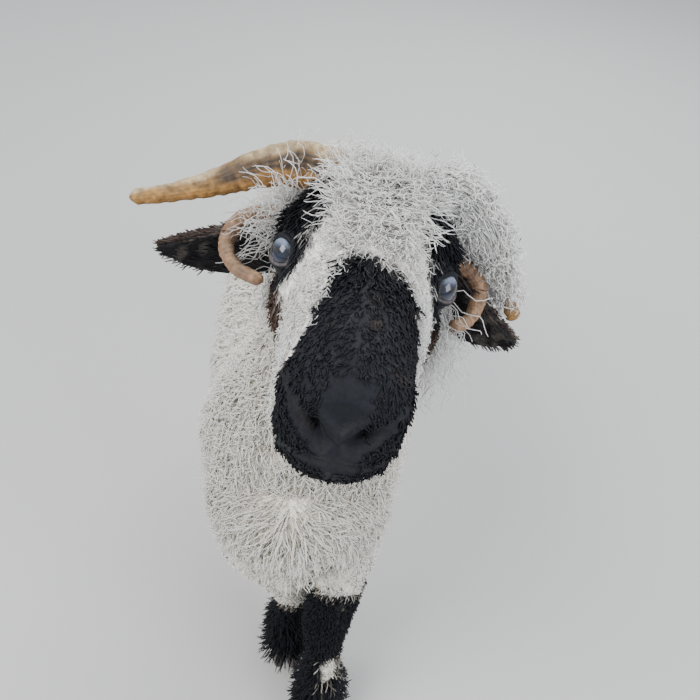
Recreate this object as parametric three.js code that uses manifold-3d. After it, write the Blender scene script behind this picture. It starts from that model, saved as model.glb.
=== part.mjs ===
// A young four-horned Valais Blacknose type sheep, standing, life size, in millimetres.
// +Z is up, the animal faces -Y, and +X is its left side. The origin is the middle of
// its outline on the floor. The whole animal is modelled as one body and then parted by thin
// cuts into head, neck, trunk, legs and tail. The fleece is rounded clumps on a plain core.
import * as THREE from "three";
import { mergeVertices } from "three/addons/utils/BufferGeometryUtils.js";
import Module from "manifold-3d";

const wasm = await Module();
wasm.setup();

// Driving dimensions
const GAP = 0.3; // between touching nodes
const BODY_X = -38; // the trunk's midline
const BODY_CLUMP = { spacing: 104, row: 91, half: 66, rise: 25 };
const NECK_CLUMP = { spacing: 68, row: 59, half: 45, rise: 21 };
const THIGH_CLUMP = { spacing: 84, row: 72, half: 52, rise: 18 };
const LEG_CLUMP = { spacing: 54, row: 46, half: 30, rise: 12 };
const TAIL_CLUMP = { spacing: 54, row: 66, half: 31, rise: 12 };
const FACE_CLUMP = { spacing: 48, row: 39, half: 32, rise: 17 };
const TRUNK_MESH = { rings: 12, sides: 14 };
const NECK_MESH = { rings: 6, sides: 14 };
const HEAD_MESH = { rings: 20, sides: 20 };
const LEG_SIDES = 8;
const SOCK_TOP = 128; // black from here down
const SHANK_TOP = 246; // the hind leg's cut above the hock
const FORE_CUT = 282; // the fore leg's cut under the brisket
const HOOF_HEIGHT = 34;
const LEFT = 1;
const RIGHT = -1;
const HEAD_PLACE = new THREE.Vector3(4, -29, 799); // midway between the eyes
const HEAD_TURN = { yaw: -0.2, pitch: -19, roll: 7 }; // degrees
const EYE = { x: 52, y: 0, z: 2, radius: 14 };
const UPPER_HORN = { base: 19, tip: 5.6, rings: 10, sides: 8 };
const SIDE_HORN = { base: 8, tip: 4.6, rings: 9, sides: 7 };
const EAR = { width: 29, thickness: 5, rings: 8, across: 5 };
const LID = { thickness: 3, length: 12.5, height: 9.5 }; // over the eye, and half its opening
const GAZE = [0.72, -0.66, 0.2]; // the left eye's, in the head's frame

const rad = THREE.MathUtils.degToRad;
const V = (x, y, z) => new THREE.Vector3(x, y, z);

// A seeded random number from 0 to 1, so that every build is alike.
let seed = 11;
function chance() {
  seed = (seed * 16807) % 2147483647;
  return seed / 2147483647;
}
const vary = (share) => 1 + share * (2 * chance() - 1);

const headFrame = new THREE.Matrix4().compose(
  HEAD_PLACE,
  new THREE.Quaternion().setFromEuler(
    new THREE.Euler(rad(HEAD_TURN.pitch), rad(HEAD_TURN.roll), rad(HEAD_TURN.yaw), "ZXY"),
  ),
  V(1, 1, 1),
);

// Solids, joined and cut with manifold-3d.
function solid(geometry) {
  const bare = new THREE.BufferGeometry().setAttribute("position", geometry.getAttribute("position"));
  bare.setIndex(geometry.index);
  const merged = mergeVertices(bare, 1e-3);
  return new wasm.Manifold(
    new wasm.Mesh({
      numProp: 3,
      vertProperties: new Float32Array(merged.attributes.position.array),
      triVerts: new Uint32Array(merged.index.array),
    }),
  );
}

function largest(body) {
  const pieces = body.decompose().sort((a, b) => b.volume() - a.volume());
  return pieces[0];
}

const joined = (solids) => wasm.Manifold.union(solids);

// A body from a list of cross-sections. Each has its centre, half-width, half-heights above and
// below the centre, and how square it is. Sizes between them follow a smooth curve.
function bodyForm(stations, up) {
  const centres = new THREE.CatmullRomCurve3(stations.map((s) => V(...s.at)), false, "centripetal");
  const sizes = new THREE.CatmullRomCurve3(stations.map((s) => V(s.half, s.above, s.below)));
  const square = stations.map((s) => s.square ?? 2);
  const bump = V(0, 0, 0);
  function frameAt(u) {
    const along = centres.getTangent(u);
    const side = new THREE.Vector3().crossVectors(up, along).normalize();
    return { centre: centres.getPoint(u), along, side, top: new THREE.Vector3().crossVectors(along, side) };
  }
  function point(u, angle, grow = 0, shape = null) {
    const f = frameAt(u);
    const size = sizes.getPoint(u);
    const k = u * (square.length - 1);
    const i = Math.min(Math.floor(k), square.length - 2);
    const power = 2 / THREE.MathUtils.lerp(square[i], square[i + 1], k - i);
    const c = Math.cos(angle);
    const s = Math.sin(angle);
    const x = Math.sign(c) * Math.abs(c) ** power * (size.x + grow);
    const z = Math.sign(s) * Math.abs(s) ** power * ((s > 0 ? size.y : size.z) + grow);
    const p = f.centre.addScaledVector(f.side, x).addScaledVector(f.top, z);
    return shape ? p.add(shape(p, bump)) : p;
  }
  function normal(u, angle) {
    const e = 0.004;
    const du = point(Math.min(u + e, 1), angle).sub(point(Math.max(u - e, 0), angle));
    const da = point(u, angle + e).sub(point(u, angle - e));
    return da.cross(du).normalize();
  }
  return { point, normal, centres };
}

// The closed surface of a body form, with a flat or domed cap at each end as its sections give.
function bodySurface(form, rings, sides, shape = null) {
  const positions = [];
  const faces = [];
  for (let r = 0; r <= rings; r++)
    for (let k = 0; k < sides; k++)
      positions.push(...form.point(r / rings, (2 * Math.PI * (k + 0.5)) / sides, 0, shape));
  for (let r = 0; r < rings; r++)
    for (let k = 0; k < sides; k++) {
      const [a, b] = [r * sides + k, r * sides + ((k + 1) % sides)];
      faces.push(a, b, b + sides, a, b + sides, a + sides);
    }
  [0, rings].forEach((r) => {
    const middle = positions.length / 3;
    const centre = V(0, 0, 0);
    for (let k = 0; k < sides; k++) centre.add(V().fromArray(positions, (r * sides + k) * 3));
    positions.push(...centre.divideScalar(sides));
    for (let k = 0; k < sides; k++) {
      const [a, b] = [r * sides + k, r * sides + ((k + 1) % sides)];
      faces.push(...(r ? [a, b, middle] : [b, a, middle]));
    }
  });
  const made = new THREE.BufferGeometry();
  made.setAttribute("position", new THREE.Float32BufferAttribute(positions, 3));
  made.setIndex(faces);
  return facingOut(made);
}

// Reverses a closed surface whose faces point inwards.
function facingOut(geometry) {
  const p = geometry.attributes.position;
  const index = [...geometry.index.array];
  const [a, b, c] = [V(), V(), V()];
  let volume = 0;
  for (let i = 0; i < index.length; i += 3) {
    a.fromBufferAttribute(p, index[i]);
    b.fromBufferAttribute(p, index[i + 1]);
    c.fromBufferAttribute(p, index[i + 2]);
    volume += a.dot(b.cross(c));
  }
  if (volume < 0)
    for (let i = 0; i < index.length; i += 3) [index[i], index[i + 1]] = [index[i + 1], index[i]];
  return geometry.setIndex(index);
}

// One rounded clump of fleece, its flat side sunk in the core at the given place.
function clump(place, outward, size, lie) {
  const form = new THREE.IcosahedronGeometry(1, 0);
  form.rotateX(0.36 * chance()).rotateZ(2 * Math.PI * chance());
  const half = size.half * vary(0.1);
  const rise = size.rise * vary(0.14);
  form.scale(half, half, rise * 1.25);
  const lean = outward.clone().addScaledVector(lie, 0.18 * chance()).normalize();
  form.applyQuaternion(new THREE.Quaternion().setFromUnitVectors(V(0, 0, 1), lean));
  const sunk = place.clone().addScaledVector(outward, -0.25 * rise);
  return solid(form.translate(...sunk));
}

// Places along a body form, from u0 to u1, that are evenly spread over its surface.
function evenRows(form, spacing, u0, u1) {
  const steps = 80;
  const walked = [0];
  const at = (i) => u0 + ((u1 - u0) * i) / steps;
  for (let i = 1; i <= steps; i++) {
    let step = 0;
    for (let k = 0; k < 8; k++)
      step += form.point(at(i), (Math.PI * k) / 4).distanceTo(form.point(at(i - 1), (Math.PI * k) / 4)) / 8;
    walked.push(walked[i - 1] + step);
  }
  const rows = Math.max(1, Math.round(walked[steps] / spacing));
  const places = [];
  for (let r = 0; r <= rows; r++) {
    const i = walked.findIndex((length) => length >= (walked[steps] * r) / rows - 1e-6);
    places.push(at(i));
  }
  return places;
}

// Clumps in staggered rings round a body form, from u0 to u1. keep says which places get one.
function fleece(form, size, u0, u1, lie, keep = () => true) {
  const made = [];
  evenRows(form, size.row, u0, u1).forEach((u, r) => {
    let girth = 0;
    for (let k = 0; k < 24; k++)
      girth += form.point(u, (Math.PI * k) / 12).distanceTo(form.point(u, (Math.PI * (k + 1)) / 12));
    const count = Math.max(3, Math.round(girth / size.spacing));
    for (let k = 0; k < count; k++) {
      const angle = (2 * Math.PI * (k + (r % 2) / 2 + 0.12 * chance())) / count;
      const place = form.point(u, angle);
      const outward = form.normal(u, angle);
      if (outward.dot(place.clone().sub(form.centres.getPoint(u))) < 0) outward.negate();
      if (keep(place, outward)) made.push(clump(place, outward, size, lie));
    }
  });
  return made;
}

// A tapered lock that bends from its root through a middle point to its tip.
function lock(root, middle, tip, width, flat) {
  const station = (at, half, thick) => ({ at: at.toArray(), half, above: thick, below: thick });
  const thick = width * flat;
  const form = bodyForm(
    [
      station(root, width * 0.8, thick),
      station(root.clone().lerp(middle, 0.6), width, thick),
      station(middle.clone().lerp(tip, 0.35), width * 0.7, thick * 0.7),
      station(tip, 0.9, 0.6),
    ],
    root.clone().cross(V(0.3, 0.2, 0.9)).normalize(),
  );
  return solid(bodySurface(form, 2, 4));
}

// The trunk, from brisket to rump
const trunkForm = bodyForm(
  [
    { at: [BODY_X, -66, 468], half: 8, above: 8, below: 8 },
    { at: [BODY_X, -58, 474], half: 54, above: 58, below: 44 },
    { at: [BODY_X, -15, 468], half: 88, above: 104, below: 76, square: 2.2 },
    { at: [BODY_X, 90, 468], half: 108, above: 132, below: 122, square: 2.3 },
    { at: [BODY_X, 230, 456], half: 130, above: 136, below: 142, square: 2.3 },
    { at: [BODY_X, 380, 454], half: 136, above: 136, below: 132, square: 2.3 },
    { at: [BODY_X, 510, 458], half: 122, above: 128, below: 112, square: 2.3 },
    { at: [BODY_X, 600, 458], half: 92, above: 100, below: 86 },
    { at: [BODY_X, 640, 456], half: 46, above: 50, below: 44 },
    { at: [BODY_X, 646, 456], half: 8, above: 8, below: 8 },
  ],
  V(0, 0, 1),
);

// The neck, from inside the shoulders to inside the skull
const neckForm = bodyForm(
  [
    { at: [BODY_X, 66, 440], half: 92, above: 112, below: 98 },
    { at: [BODY_X - 2, 42, 520], half: 100, above: 98, below: 88 },
    { at: [BODY_X + 4, 22, 592], half: 86, above: 78, below: 74 },
    { at: [BODY_X + 18, 8, 660], half: 68, above: 64, below: 62 },
    { at: [BODY_X + 32, 6, 718], half: 57, above: 54, below: 52 },
    { at: [BODY_X + 42, 14, 768], half: 46, above: 44, below: 42 },
  ],
  V(0, 1, 0.2),
);

// The head in its own frame: -Y to the muzzle, +Z to the crown, origin midway between the eyes
const headForm = bodyForm(
  [
    { at: [0, -157, -42], half: 5, above: 6, below: 6 },
    { at: [0, -155, -42], half: 21, above: 24, below: 27, square: 2.2 },
    { at: [0, -143, -40], half: 33, above: 36, below: 41, square: 2.3 },
    { at: [0, -118, -36], half: 37, above: 43, below: 45, square: 2.4 },
    { at: [0, -85, -32], half: 39, above: 49, below: 45, square: 2.4 },
    { at: [0, -45, -26], half: 46, above: 58, below: 52, square: 2.3 },
    { at: [0, -10, -22], half: 54, above: 66, below: 64, square: 2.3 },
    { at: [0, 25, -16], half: 60, above: 74, below: 70, square: 2.2 },
    { at: [0, 58, -6], half: 58, above: 74, below: 62, square: 2.1 },
    { at: [0, 86, 4], half: 46, above: 54, below: 44 },
    { at: [0, 100, 8], half: 26, above: 30, below: 26 },
    { at: [0, 104, 9], half: 6, above: 6, below: 6 },
  ],
  V(0, 0, 1),
);

const bell = (p, centre, reach) => Math.exp(-p.distanceToSquared(centre) / (reach * reach));

// Brow, cheek bones, nostril wings and lips, raised on the head's own surface.
function faceShape(p, out) {
  const side = Math.sign(p.x) || 1;
  const swell = (x, y, z, reach, height) => bell(p, V(side * x, y, z), reach) * height;
  const sideways = swell(54, 4, 18, 20, 9) + swell(50, -16, -24, 24, 5) + swell(30, -136, -26, 18, 1.5);
  const upward = swell(40, 6, 44, 22, 4) + swell(22, -143, -12, 12, 3) - swell(0, -70, 30, 26, 3);
  const inward = swell(58, -4, 0, 12, 5);
  return out.set(side * (sideways - inward), -swell(16, -152, -22, 14, 4), upward);
}

const inHead = (s) => s.transform([...headFrame.elements]);

// Closed cutter round a bent line, such as the mouth or a nostril.
function groove(points, radius) {
  const stations = points.map((at) => ({ at, half: radius, above: radius, below: radius }));
  return solid(bodySurface(bodyForm(stations, V(0.1, 0.2, 1)), stations.length - 1, 6));
}

// Mouth and nostrils are given for the left side, from the side of the face to its middle.
const MOUTH = [[42, -96, -53], [39, -118, -56], [29, -144, -56], [0, -159, -54]];
const NOSTRIL = [[9, -161, -41], [17, -157, -33], [24, -148, -25], [29, -136, -20]];
const LIP_CLEFT = [[0, -160, -38], [0, -160, -46], [0, -158, -54]];

function faceCuts() {
  const onSide = (side, points) => points.map(([x, y, z]) => [side * x, y, z]);
  const mouth = groove([...onSide(RIGHT, MOUTH), ...MOUTH.slice(0, -1).reverse()], 2.2);
  const nostrils = [LEFT, RIGHT].map((side) => groove(onSide(side, NOSTRIL), 4));
  return joined([mouth, groove(LIP_CLEFT, 1.7), ...nostrils]);
}

// Lids as a thick shell over the eye, open to a long slit towards its gaze.
function lids(side) {
  const shell = new THREE.SphereGeometry(EYE.radius + LID.thickness, 14, 8);
  const slit = new THREE.CylinderGeometry(1, 1, 2 * EYE.radius, 12).rotateX(Math.PI / 2);
  slit.translate(0, 0, EYE.radius).scale(LID.length, LID.height, 1);
  const gaze = V(side * GAZE[0], GAZE[1], GAZE[2]).normalize();
  const corner = new THREE.Vector3().crossVectors(V(0, 0, 1), gaze).normalize();
  const turn = new THREE.Matrix4().makeBasis(corner, gaze.clone().cross(corner), gaze);
  const place = V(side * EYE.x, EYE.y, EYE.z);
  slit.applyMatrix4(turn).translate(...place);
  return solid(shell.translate(...place)).subtract(solid(slit));
}

// Wool on crown, brow and cheeks, leaving muzzle, eyes and the front of the face bare.
function woolOnFace(place) {
  const { x, y, z } = place;
  const byEye = Math.hypot(y - EYE.y, z - EYE.z) < 27 && Math.abs(x) > 35;
  const crown = z > 14 && y > -34;
  const cheek = y > 8 && z < 14 && Math.abs(x) > 30;
  return !byEye && (crown || cheek);
}

// Curls on the crown: each rises from the wool and bends over to one side.
function crownLocks() {
  const made = [];
  const count = 11;
  for (let k = 0; k < count; k++) {
    const t = (k + 0.5) / count;
    const x = 54 * (2 * t - 1);
    const y = 22 + 46 * chance();
    const top = 78 - 0.009 * x * x - 0.5 * Math.max(0, y - 50);
    const root = V(x * 0.8, y, top - 24);
    const middle = V(x * 1.02, y + 8 * (chance() - 0.5), top + 9 * vary(0.3));
    const way = 2 * Math.PI * chance();
    const tip = middle.clone().add(V(17 * Math.cos(way), 17 * Math.sin(way), 3));
    made.push(lock(root, middle, tip, 11, 0.7));
  }
  return made;
}

function headSolid() {
  const skull = solid(bodySurface(headForm, HEAD_MESH.rings, HEAD_MESH.sides, faceShape));
  const wool = fleece(headForm, FACE_CLUMP, 0.42, 0.97, V(0, -1, 0.2), woolOnFace);
  const shaped = joined([skull, lids(LEFT), lids(RIGHT)]).subtract(faceCuts());
  return inHead(joined([shaped, ...wool, ...crownLocks()]));
}

function eyeGeometry(side, grow = 0) {
  const ball = new THREE.SphereGeometry(EYE.radius + grow, 12, 7);
  ball.rotateZ(Math.PI / 2).translate(side * EYE.x, EYE.y, EYE.z);
  return ball;
}

// Horns as round tapered lengths with growth rings, in the head's frame
function hornForm(path, size) {
  const count = path.length - 1;
  const stations = path.map((at, i) => {
    const r = THREE.MathUtils.lerp(size.base, size.tip, THREE.MathUtils.smoothstep(i, 0, count));
    return { at, half: r * size.broad, above: r, below: r, square: 2.2 };
  });
  return bodyForm(stations, size.up);
}

const UPPER_PATH = {
  [RIGHT]: [[-30, 44, 50], [-58, 50, 53], [-85, 52, 45], [-117, 54, 27], [-150, 54, 11], [-183, 50, 0]],
  [LEFT]: [[30, 44, 50], [54, 50, 50], [78, 52, 36], [98, 52, 12], [113, 50, -10], [126, 45, -26]],
};

function upperHorn(side) {
  const path = UPPER_PATH[side];
  return hornForm(path, { ...UPPER_HORN, broad: 0.66, up: V(side * 0.3, 0.15, 1).normalize() });
}

const SIDE_PATH = {
  [RIGHT]: [[-44, 40, 14], [-72, 44, 14], [-96, 40, 5], [-102, 26, -11], [-90, 10, -21], [-68, -3, -22]],
  [LEFT]: [[44, 40, 14], [70, 46, 10], [88, 42, -2], [90, 30, -18], [83, 18, -27], [71, 8, -29]],
};

function sideHorn(side) {
  const path = SIDE_PATH[side];
  return hornForm(path, { ...SIDE_HORN, broad: 0.95, up: V(side * 0.5, 1, 0.3).normalize() });
}

function ridged(height, pitch) {
  return (p, out) => {
    const wave = Math.sin((2 * Math.PI * p.length()) / pitch);
    return out.set(0, 0, height * wave * 0.5);
  };
}

const upperHornSolid = (side) =>
  inHead(solid(bodySurface(upperHorn(side), UPPER_HORN.rings, UPPER_HORN.sides, ridged(0.9, 17))));
const sideHornSolid = (side) =>
  inHead(solid(bodySurface(sideHorn(side), SIDE_HORN.rings, SIDE_HORN.sides, ridged(0.5, 9))));

// A cupped leaf of even thickness: its back and its hollow front share one outline.
function earSolid(side) {
  const droop = side === LEFT ? 12 : 0;
  const reach = side === LEFT ? 0.84 : 1;
  const spine = new THREE.CatmullRomCurve3([
    V(side * 50, 58, -8),
    V(side * 80 * reach, 60, -14 - 0.4 * droop),
    V(side * 110 * reach, 56, -22 - 0.8 * droop),
    V(side * 134 * reach, 50, -28 - droop),
    V(side * 153 * reach, 45, -31 - droop),
  ]);
  const positions = [];
  const faces = [];
  const { rings, across } = EAR;
  const row = 2 * (across + 1);
  for (let r = 0; r <= rings; r++) {
    const u = r / rings;
    const along = spine.getTangent(u);
    const front = V(side * 0.1, -0.62, -0.55).projectOnPlane(along).normalize();
    const edge = new THREE.Vector3().crossVectors(along, front);
    const half = EAR.width * Math.sin(Math.PI * (0.14 + 0.84 * u) ** 0.75) ** 0.8 + 1.6;
    const depth = 0.62 * half;
    for (const back of [1, -1])
      for (let j = 0; j <= across; j++) {
        const v = back * ((2 * j) / across - 1);
        const rim = Math.sqrt(Math.max(0, 1 - v * v));
        const thick = back * (EAR.thickness / 2) * (0.35 + 0.65 * rim);
        const p = spine.getPoint(u).addScaledVector(edge, half * v);
        p.addScaledVector(front, depth * v * v - depth * 0.5 - thick);
        positions.push(...p);
      }
  }
  for (let r = 0; r < rings; r++)
    for (let j = 0; j < row; j++) {
      const [a, b] = [r * row + j, r * row + ((j + 1) % row)];
      faces.push(a, b, b + row, a, b + row, a + row);
    }
  for (let j = 0; j < across; j++) {
    const [a, b, c, d] = [j, j + 1, row - 1 - j, row - 2 - j];
    faces.push(b, a, c, b, c, d);
    const e = rings * row;
    faces.push(e + a, e + b, e + c, e + b, e + d, e + c);
  }
  const geometry = new THREE.BufferGeometry();
  geometry.setAttribute("position", new THREE.Float32BufferAttribute(positions, 3));
  geometry.setIndex(faces);
  return inHead(solid(facingOut(geometry)));
}

// Fore and hind legs. Each foot has its own place on the floor, and its leg runs there from the
// shoulder or hip. A fore leg's share of the foot's place grows towards the floor.
const FORE = { [LEFT]: { x: 6, y: -36 }, [RIGHT]: { x: -48, y: 48 } };
const HIND = { [LEFT]: { x: BODY_X + 66, y: 520 }, [RIGHT]: { x: BODY_X - 66, y: 556 } };

function foreForm(side) {
  const { x, y } = FORE[side];
  const top = BODY_X + 60 * side;
  const shoulder = 42;
  const towards = (share) => THREE.MathUtils.lerp(shoulder, y + 5, share);
  return bodyForm(
    [
      { at: [top, 52, 400], half: 38, above: 60, below: 60 },
      { at: [top, shoulder, 320], half: 35, above: 46, below: 48 },
      { at: [(top + x) / 2, towards(0.3), 250], half: 30, above: 33, below: 34 },
      { at: [x, towards(0.55), 192], half: 27, above: 29, below: 28 },
      { at: [x, towards(0.8), 145], half: 20, above: 20, below: 21 },
      { at: [x, towards(0.95), 105], half: 19, above: 19, below: 20 },
      { at: [x, y + 5, 76], half: 22, above: 23, below: 24 },
      { at: [x, y - 2, 50], half: 20, above: 20, below: 21 },
      { at: [x, y - 6, HOOF_HEIGHT + GAP], half: 23, above: 25, below: 24 },
    ],
    V(0, -1, 0),
  );
}

function hindForm(side) {
  const { x, y } = HIND[side];
  return bodyForm(
    [
      { at: [BODY_X + 78 * side, 530, 470], half: 48, above: 82, below: 70 },
      { at: [BODY_X + 84 * side, 520, 395], half: 54, above: 84, below: 82 },
      { at: [BODY_X + 82 * side, 524, 330], half: 46, above: 64, below: 66 },
      { at: [x + 7 * side, y + 22, 272], half: 34, above: 44, below: 42 },
      { at: [x + 2 * side, y + 48, 226], half: 26, above: 32, below: 29 },
      { at: [x, y + 52, 192], half: 24, above: 27, below: 25 },
      { at: [x, y + 34, 145], half: 20, above: 21, below: 20 },
      { at: [x, y + 22, 105], half: 19, above: 20, below: 19 },
      { at: [x, y + 13, 76], half: 22, above: 24, below: 23 },
      { at: [x, y + 2, 50], half: 20, above: 21, below: 20 },
      { at: [x, y - 4, HOOF_HEIGHT + GAP], half: 23, above: 25, below: 24 },
    ],
    V(0, -1, 0),
  );
}

// Hanging locks round the pastern, in two tiers. Each springs from the core's surface and hangs
// outside it, the lower tier starting under the tips of the upper one.
function sockLocks(foot) {
  const made = [];
  [0, 1].forEach((tier) => {
    const count = 5;
    const low = 40 * tier;
    for (let k = 0; k < count; k++) {
      const a = (2 * Math.PI * (k + tier / 2 + 0.15 * chance())) / count;
      const way = V(Math.cos(a), Math.sin(a), 0);
      const place = (reach, z) => V(foot.x, foot.y + 0.12 * z, z).addScaledVector(way, reach);
      const root = place(13, 121 - low);
      const middle = place(34 * vary(0.05), 96 - low);
      const tip = place((37 + 2 * tier) * vary(0.05), 66 * vary(0.06) - low);
      made.push(lock(root, middle, tip, 20, 0.36));
    }
  });
  return made;
}

// One of a foot's two claws, flat under its whole sole, narrower and shorter at its top.
function clawGeometry(foot, side) {
  const outline = new THREE.Shape();
  outline.moveTo(1.2, 21);
  outline.bezierCurveTo(12, 25, 23, 20, 23.5, 5);
  outline.bezierCurveTo(24, -14, 14, -30, 4, -33);
  outline.quadraticCurveTo(1.2, -33, 1.2, -28);
  outline.lineTo(1.2, 21);
  const size = { depth: HOOF_HEIGHT, bevelEnabled: false, steps: 1, curveSegments: 4 };
  const claw = new THREE.ExtrudeGeometry(outline, size);
  const p = claw.attributes.position;
  for (let i = 0; i < p.count; i++) {
    const rise = p.getZ(i) / HOOF_HEIGHT;
    const x = p.getX(i) * (1 - 0.16 * rise) + 0.2 * rise;
    const y = p.getY(i) * (1 - 0.3 * rise) + 2 * rise;
    p.setXYZ(i, side * x + foot.x, y + foot.y - 8, p.getZ(i));
  }
  const bare = claw.deleteAttribute("normal").deleteAttribute("uv");
  return facingOut(mergeVertices(bare, 1e-3));
}

// The tail hangs behind the rump to above the hocks
const tailForm = bodyForm(
  [
    { at: [BODY_X, 596, 520], half: 24, above: 20, below: 24 },
    { at: [BODY_X, 646, 516], half: 27, above: 20, below: 24 },
    { at: [BODY_X, 680, 470], half: 26, above: 18, below: 20 },
    { at: [BODY_X, 690, 400], half: 24, above: 16, below: 17 },
    { at: [BODY_X, 688, 330], half: 20, above: 13, below: 14 },
    { at: [BODY_X, 682, 276], half: 11, above: 8, below: 8 },
    { at: [BODY_X, 680, 268], half: 3, above: 3, below: 3 },
  ],
  V(0, 1, 0.3),
);

// A box that parts the body, with its lowest face through one point and turned about one axis.
function cellAbove(point, size, tilt, axis = V(1, 0, 0), grow = 0) {
  const box = new THREE.BoxGeometry(size[0] + 2 * grow, size[1] + 2 * grow, size[2] + 2 * grow);
  box.translate(0, 0, size[2] / 2);
  const turn = new THREE.Quaternion().setFromAxisAngle(axis, rad(tilt));
  return solid(box.applyQuaternion(turn).translate(...point));
}

// Two pieces of one solid with a thin gap between them: what lies in the cell, and the rest.
function part(whole, point, size, tilt, axis) {
  const inside = whole.intersect(cellAbove(point, size, tilt, axis));
  return [inside, whole.subtract(cellAbove(point, size, tilt, axis, GAP))];
}

const LEVEL = [600, 1000, 400];
const HEAD_CUT = { point: [0, 0, 712], size: [500, 600, 300], tilt: 14 };
const NECK_CUT = { point: [BODY_X, 20, 566], size: [400, 420, 300], tilt: 27 };
const TAIL_CUT = { point: [BODY_X, 706, 230], size: [104, 96, 340], tilt: 0 };
const THIGH_CUT = { height: 316, tilt: 34, inner: 16, size: [600, 320, 400] };
const THIGH_ROOM = { reach: 260, length: 236, depth: 160 }; // under the thigh's cut
const FORE_ROOM = { y: 8, size: [126, 190, 200] }; // round the top of a fore leg

const between = (low, high) => (place) => place.z > low && place.z < high;

// The trunk's own clumps leave room where each leg starts and where the tail hangs.
function trunkClumps(place) {
  const out = Math.abs(place.x - BODY_X);
  const overFore = place.z < 362 && place.y < 110 && place.y > -50;
  const overHind = place.z < 420 && place.y > 440 && out < 135;
  const inNeck = place.z > 530 && place.y < 60 && out < 70;
  const byTail = place.y > 618 && out < 50;
  return !(overFore || overHind || inNeck || byTail);
}

function foreLeg(side) {
  const high = between(SOCK_TOP + 22, FORE_CUT + 6);
  const notInside = (place, outward) => high(place) && outward.x * side > -0.3;
  const clumps = fleece(foreForm(side), LEG_CLUMP, 0.3, 0.62, V(0, 0, -1), notInside);
  return joined([solid(bodySurface(foreForm(side), 10, LEG_SIDES)), ...clumps, ...sockLocks(FORE[side])]);
}

function hindLeg(side) {
  const clumps = fleece(hindForm(side), THIGH_CLUMP, 0.06, 0.42, V(0, 0, -1), between(SHANK_TOP, 450));
  const foot = { x: HIND[side].x, y: HIND[side].y + 8 };
  return joined([solid(bodySurface(hindForm(side), 12, LEG_SIDES)), ...clumps, ...sockLocks(foot)]);
}

const palette = {
  fleece: { color: 0xddd6c4, roughness: 0.95 },
  head: { color: 0xd8d5cd, roughness: 0.95 },
  sock: { color: 0x1f2024, roughness: 0.9 },
  horn: { color: 0xa9854f, roughness: 0.55 },
  ear: { color: 0x3a2e29, roughness: 0.85 },
  eye: { color: 0x2a3650, roughness: 0.08 },
  hoof: { color: 0x6f6a66, roughness: 0.5 },
};
const sheep = new THREE.Group();

function addNode(name, made, finish) {
  const mesh = largest(made).getMesh();
  const geometry = new THREE.BufferGeometry();
  geometry.setAttribute("position", new THREE.BufferAttribute(mesh.vertProperties, 3));
  geometry.setIndex(new THREE.BufferAttribute(mesh.triVerts, 1));
  geometry.computeVertexNormals();
  const material = new THREE.MeshStandardMaterial({ ...palette[finish], metalness: 0 });
  const node = new THREE.Mesh(geometry, material);
  node.name = name;
  sheep.add(node);
}

const sideName = (side) => (side === LEFT ? "left" : "right");
const trunkPieces = [
  solid(bodySurface(trunkForm, TRUNK_MESH.rings, TRUNK_MESH.sides)),
  solid(bodySurface(neckForm, NECK_MESH.rings, NECK_MESH.sides)),
  solid(bodySurface(tailForm, 6, 8)),
  ...fleece(trunkForm, BODY_CLUMP, 0.03, 0.985, V(0, 0.3, -1), trunkClumps),
  ...fleece(neckForm, NECK_CLUMP, 0.3, 0.86, V(0, 0, -1)),
  ...fleece(tailForm, TAIL_CLUMP, 0.16, 0.92, V(0, 0, -1)),
  headSolid(),
];

// Legs: the part above each cut goes to the trunk, the part below it is the leg.
const trunkCuts = [];
for (const side of [LEFT, RIGHT]) {
  const name = sideName(side);
  const axis = V(0, -side, 0);
  const [upper, lower] = part(foreLeg(side), [BODY_X, 0, FORE_CUT], LEVEL, 0);
  trunkPieces.push(upper);
  const roomBase = FORE_CUT - FORE_ROOM.size[2] + GAP;
  trunkCuts.push(cellAbove([BODY_X + 60 * side, FORE_ROOM.y, roomBase], FORE_ROOM.size, 0));
  const [forearm, foreFoot] = part(lower, [BODY_X, 0, SOCK_TOP], LEVEL, 0);
  addNode(`forearm_${name}`, forearm, "fleece");
  const foreClaws = [LEFT, RIGHT].map((half) => solid(clawGeometry(FORE[side], half)));
  addNode(`fore_sock_${name}`, foreFoot.subtract(clawRoom(FORE[side])), "sock");
  foreClaws.forEach((claw, k) => addNode(`fore_claw_${name}_${k ? "in" : "out"}`, claw, "hoof"));

  const hip = [BODY_X + THIGH_CUT.inner * side, 530, THIGH_CUT.height];
  const above = cellAbove(hip, THIGH_CUT.size, THIGH_CUT.tilt, axis);
  const whole = hindLeg(side);
  trunkPieces.push(whole.intersect(above));
  const below = whole.subtract(cellAbove(hip, THIGH_CUT.size, THIGH_CUT.tilt, axis, GAP));
  trunkCuts.push(thighRoom(hip, side));
  const [thigh, underThigh] = part(below, [BODY_X, 540, SHANK_TOP], LEVEL, 0);
  addNode(`thigh_${name}`, thigh, "fleece");
  const [shank, hindFoot] = part(underThigh, [BODY_X, 540, SOCK_TOP], LEVEL, 0);
  addNode(`hind_shank_${name}`, shank, "fleece");
  addNode(`hind_sock_${name}`, hindFoot.subtract(clawRoom(HIND[side])), "sock");
  [LEFT, RIGHT].forEach((half, k) =>
    addNode(`hind_claw_${name}_${k ? "in" : "out"}`, solid(clawGeometry(HIND[side], half)), "hoof"),
  );
}

// Room for the thigh under its slanted cut, from the groin outwards
function thighRoom(hip, side) {
  const { reach, length, depth } = THIGH_ROOM;
  const box = new THREE.BoxGeometry(reach, length, depth);
  box.translate((side * reach) / 2, 0, -depth / 2 + GAP);
  box.applyQuaternion(new THREE.Quaternion().setFromAxisAngle(V(0, -side, 0), rad(THIGH_CUT.tilt)));
  return solid(box.translate(...hip));
}

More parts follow.
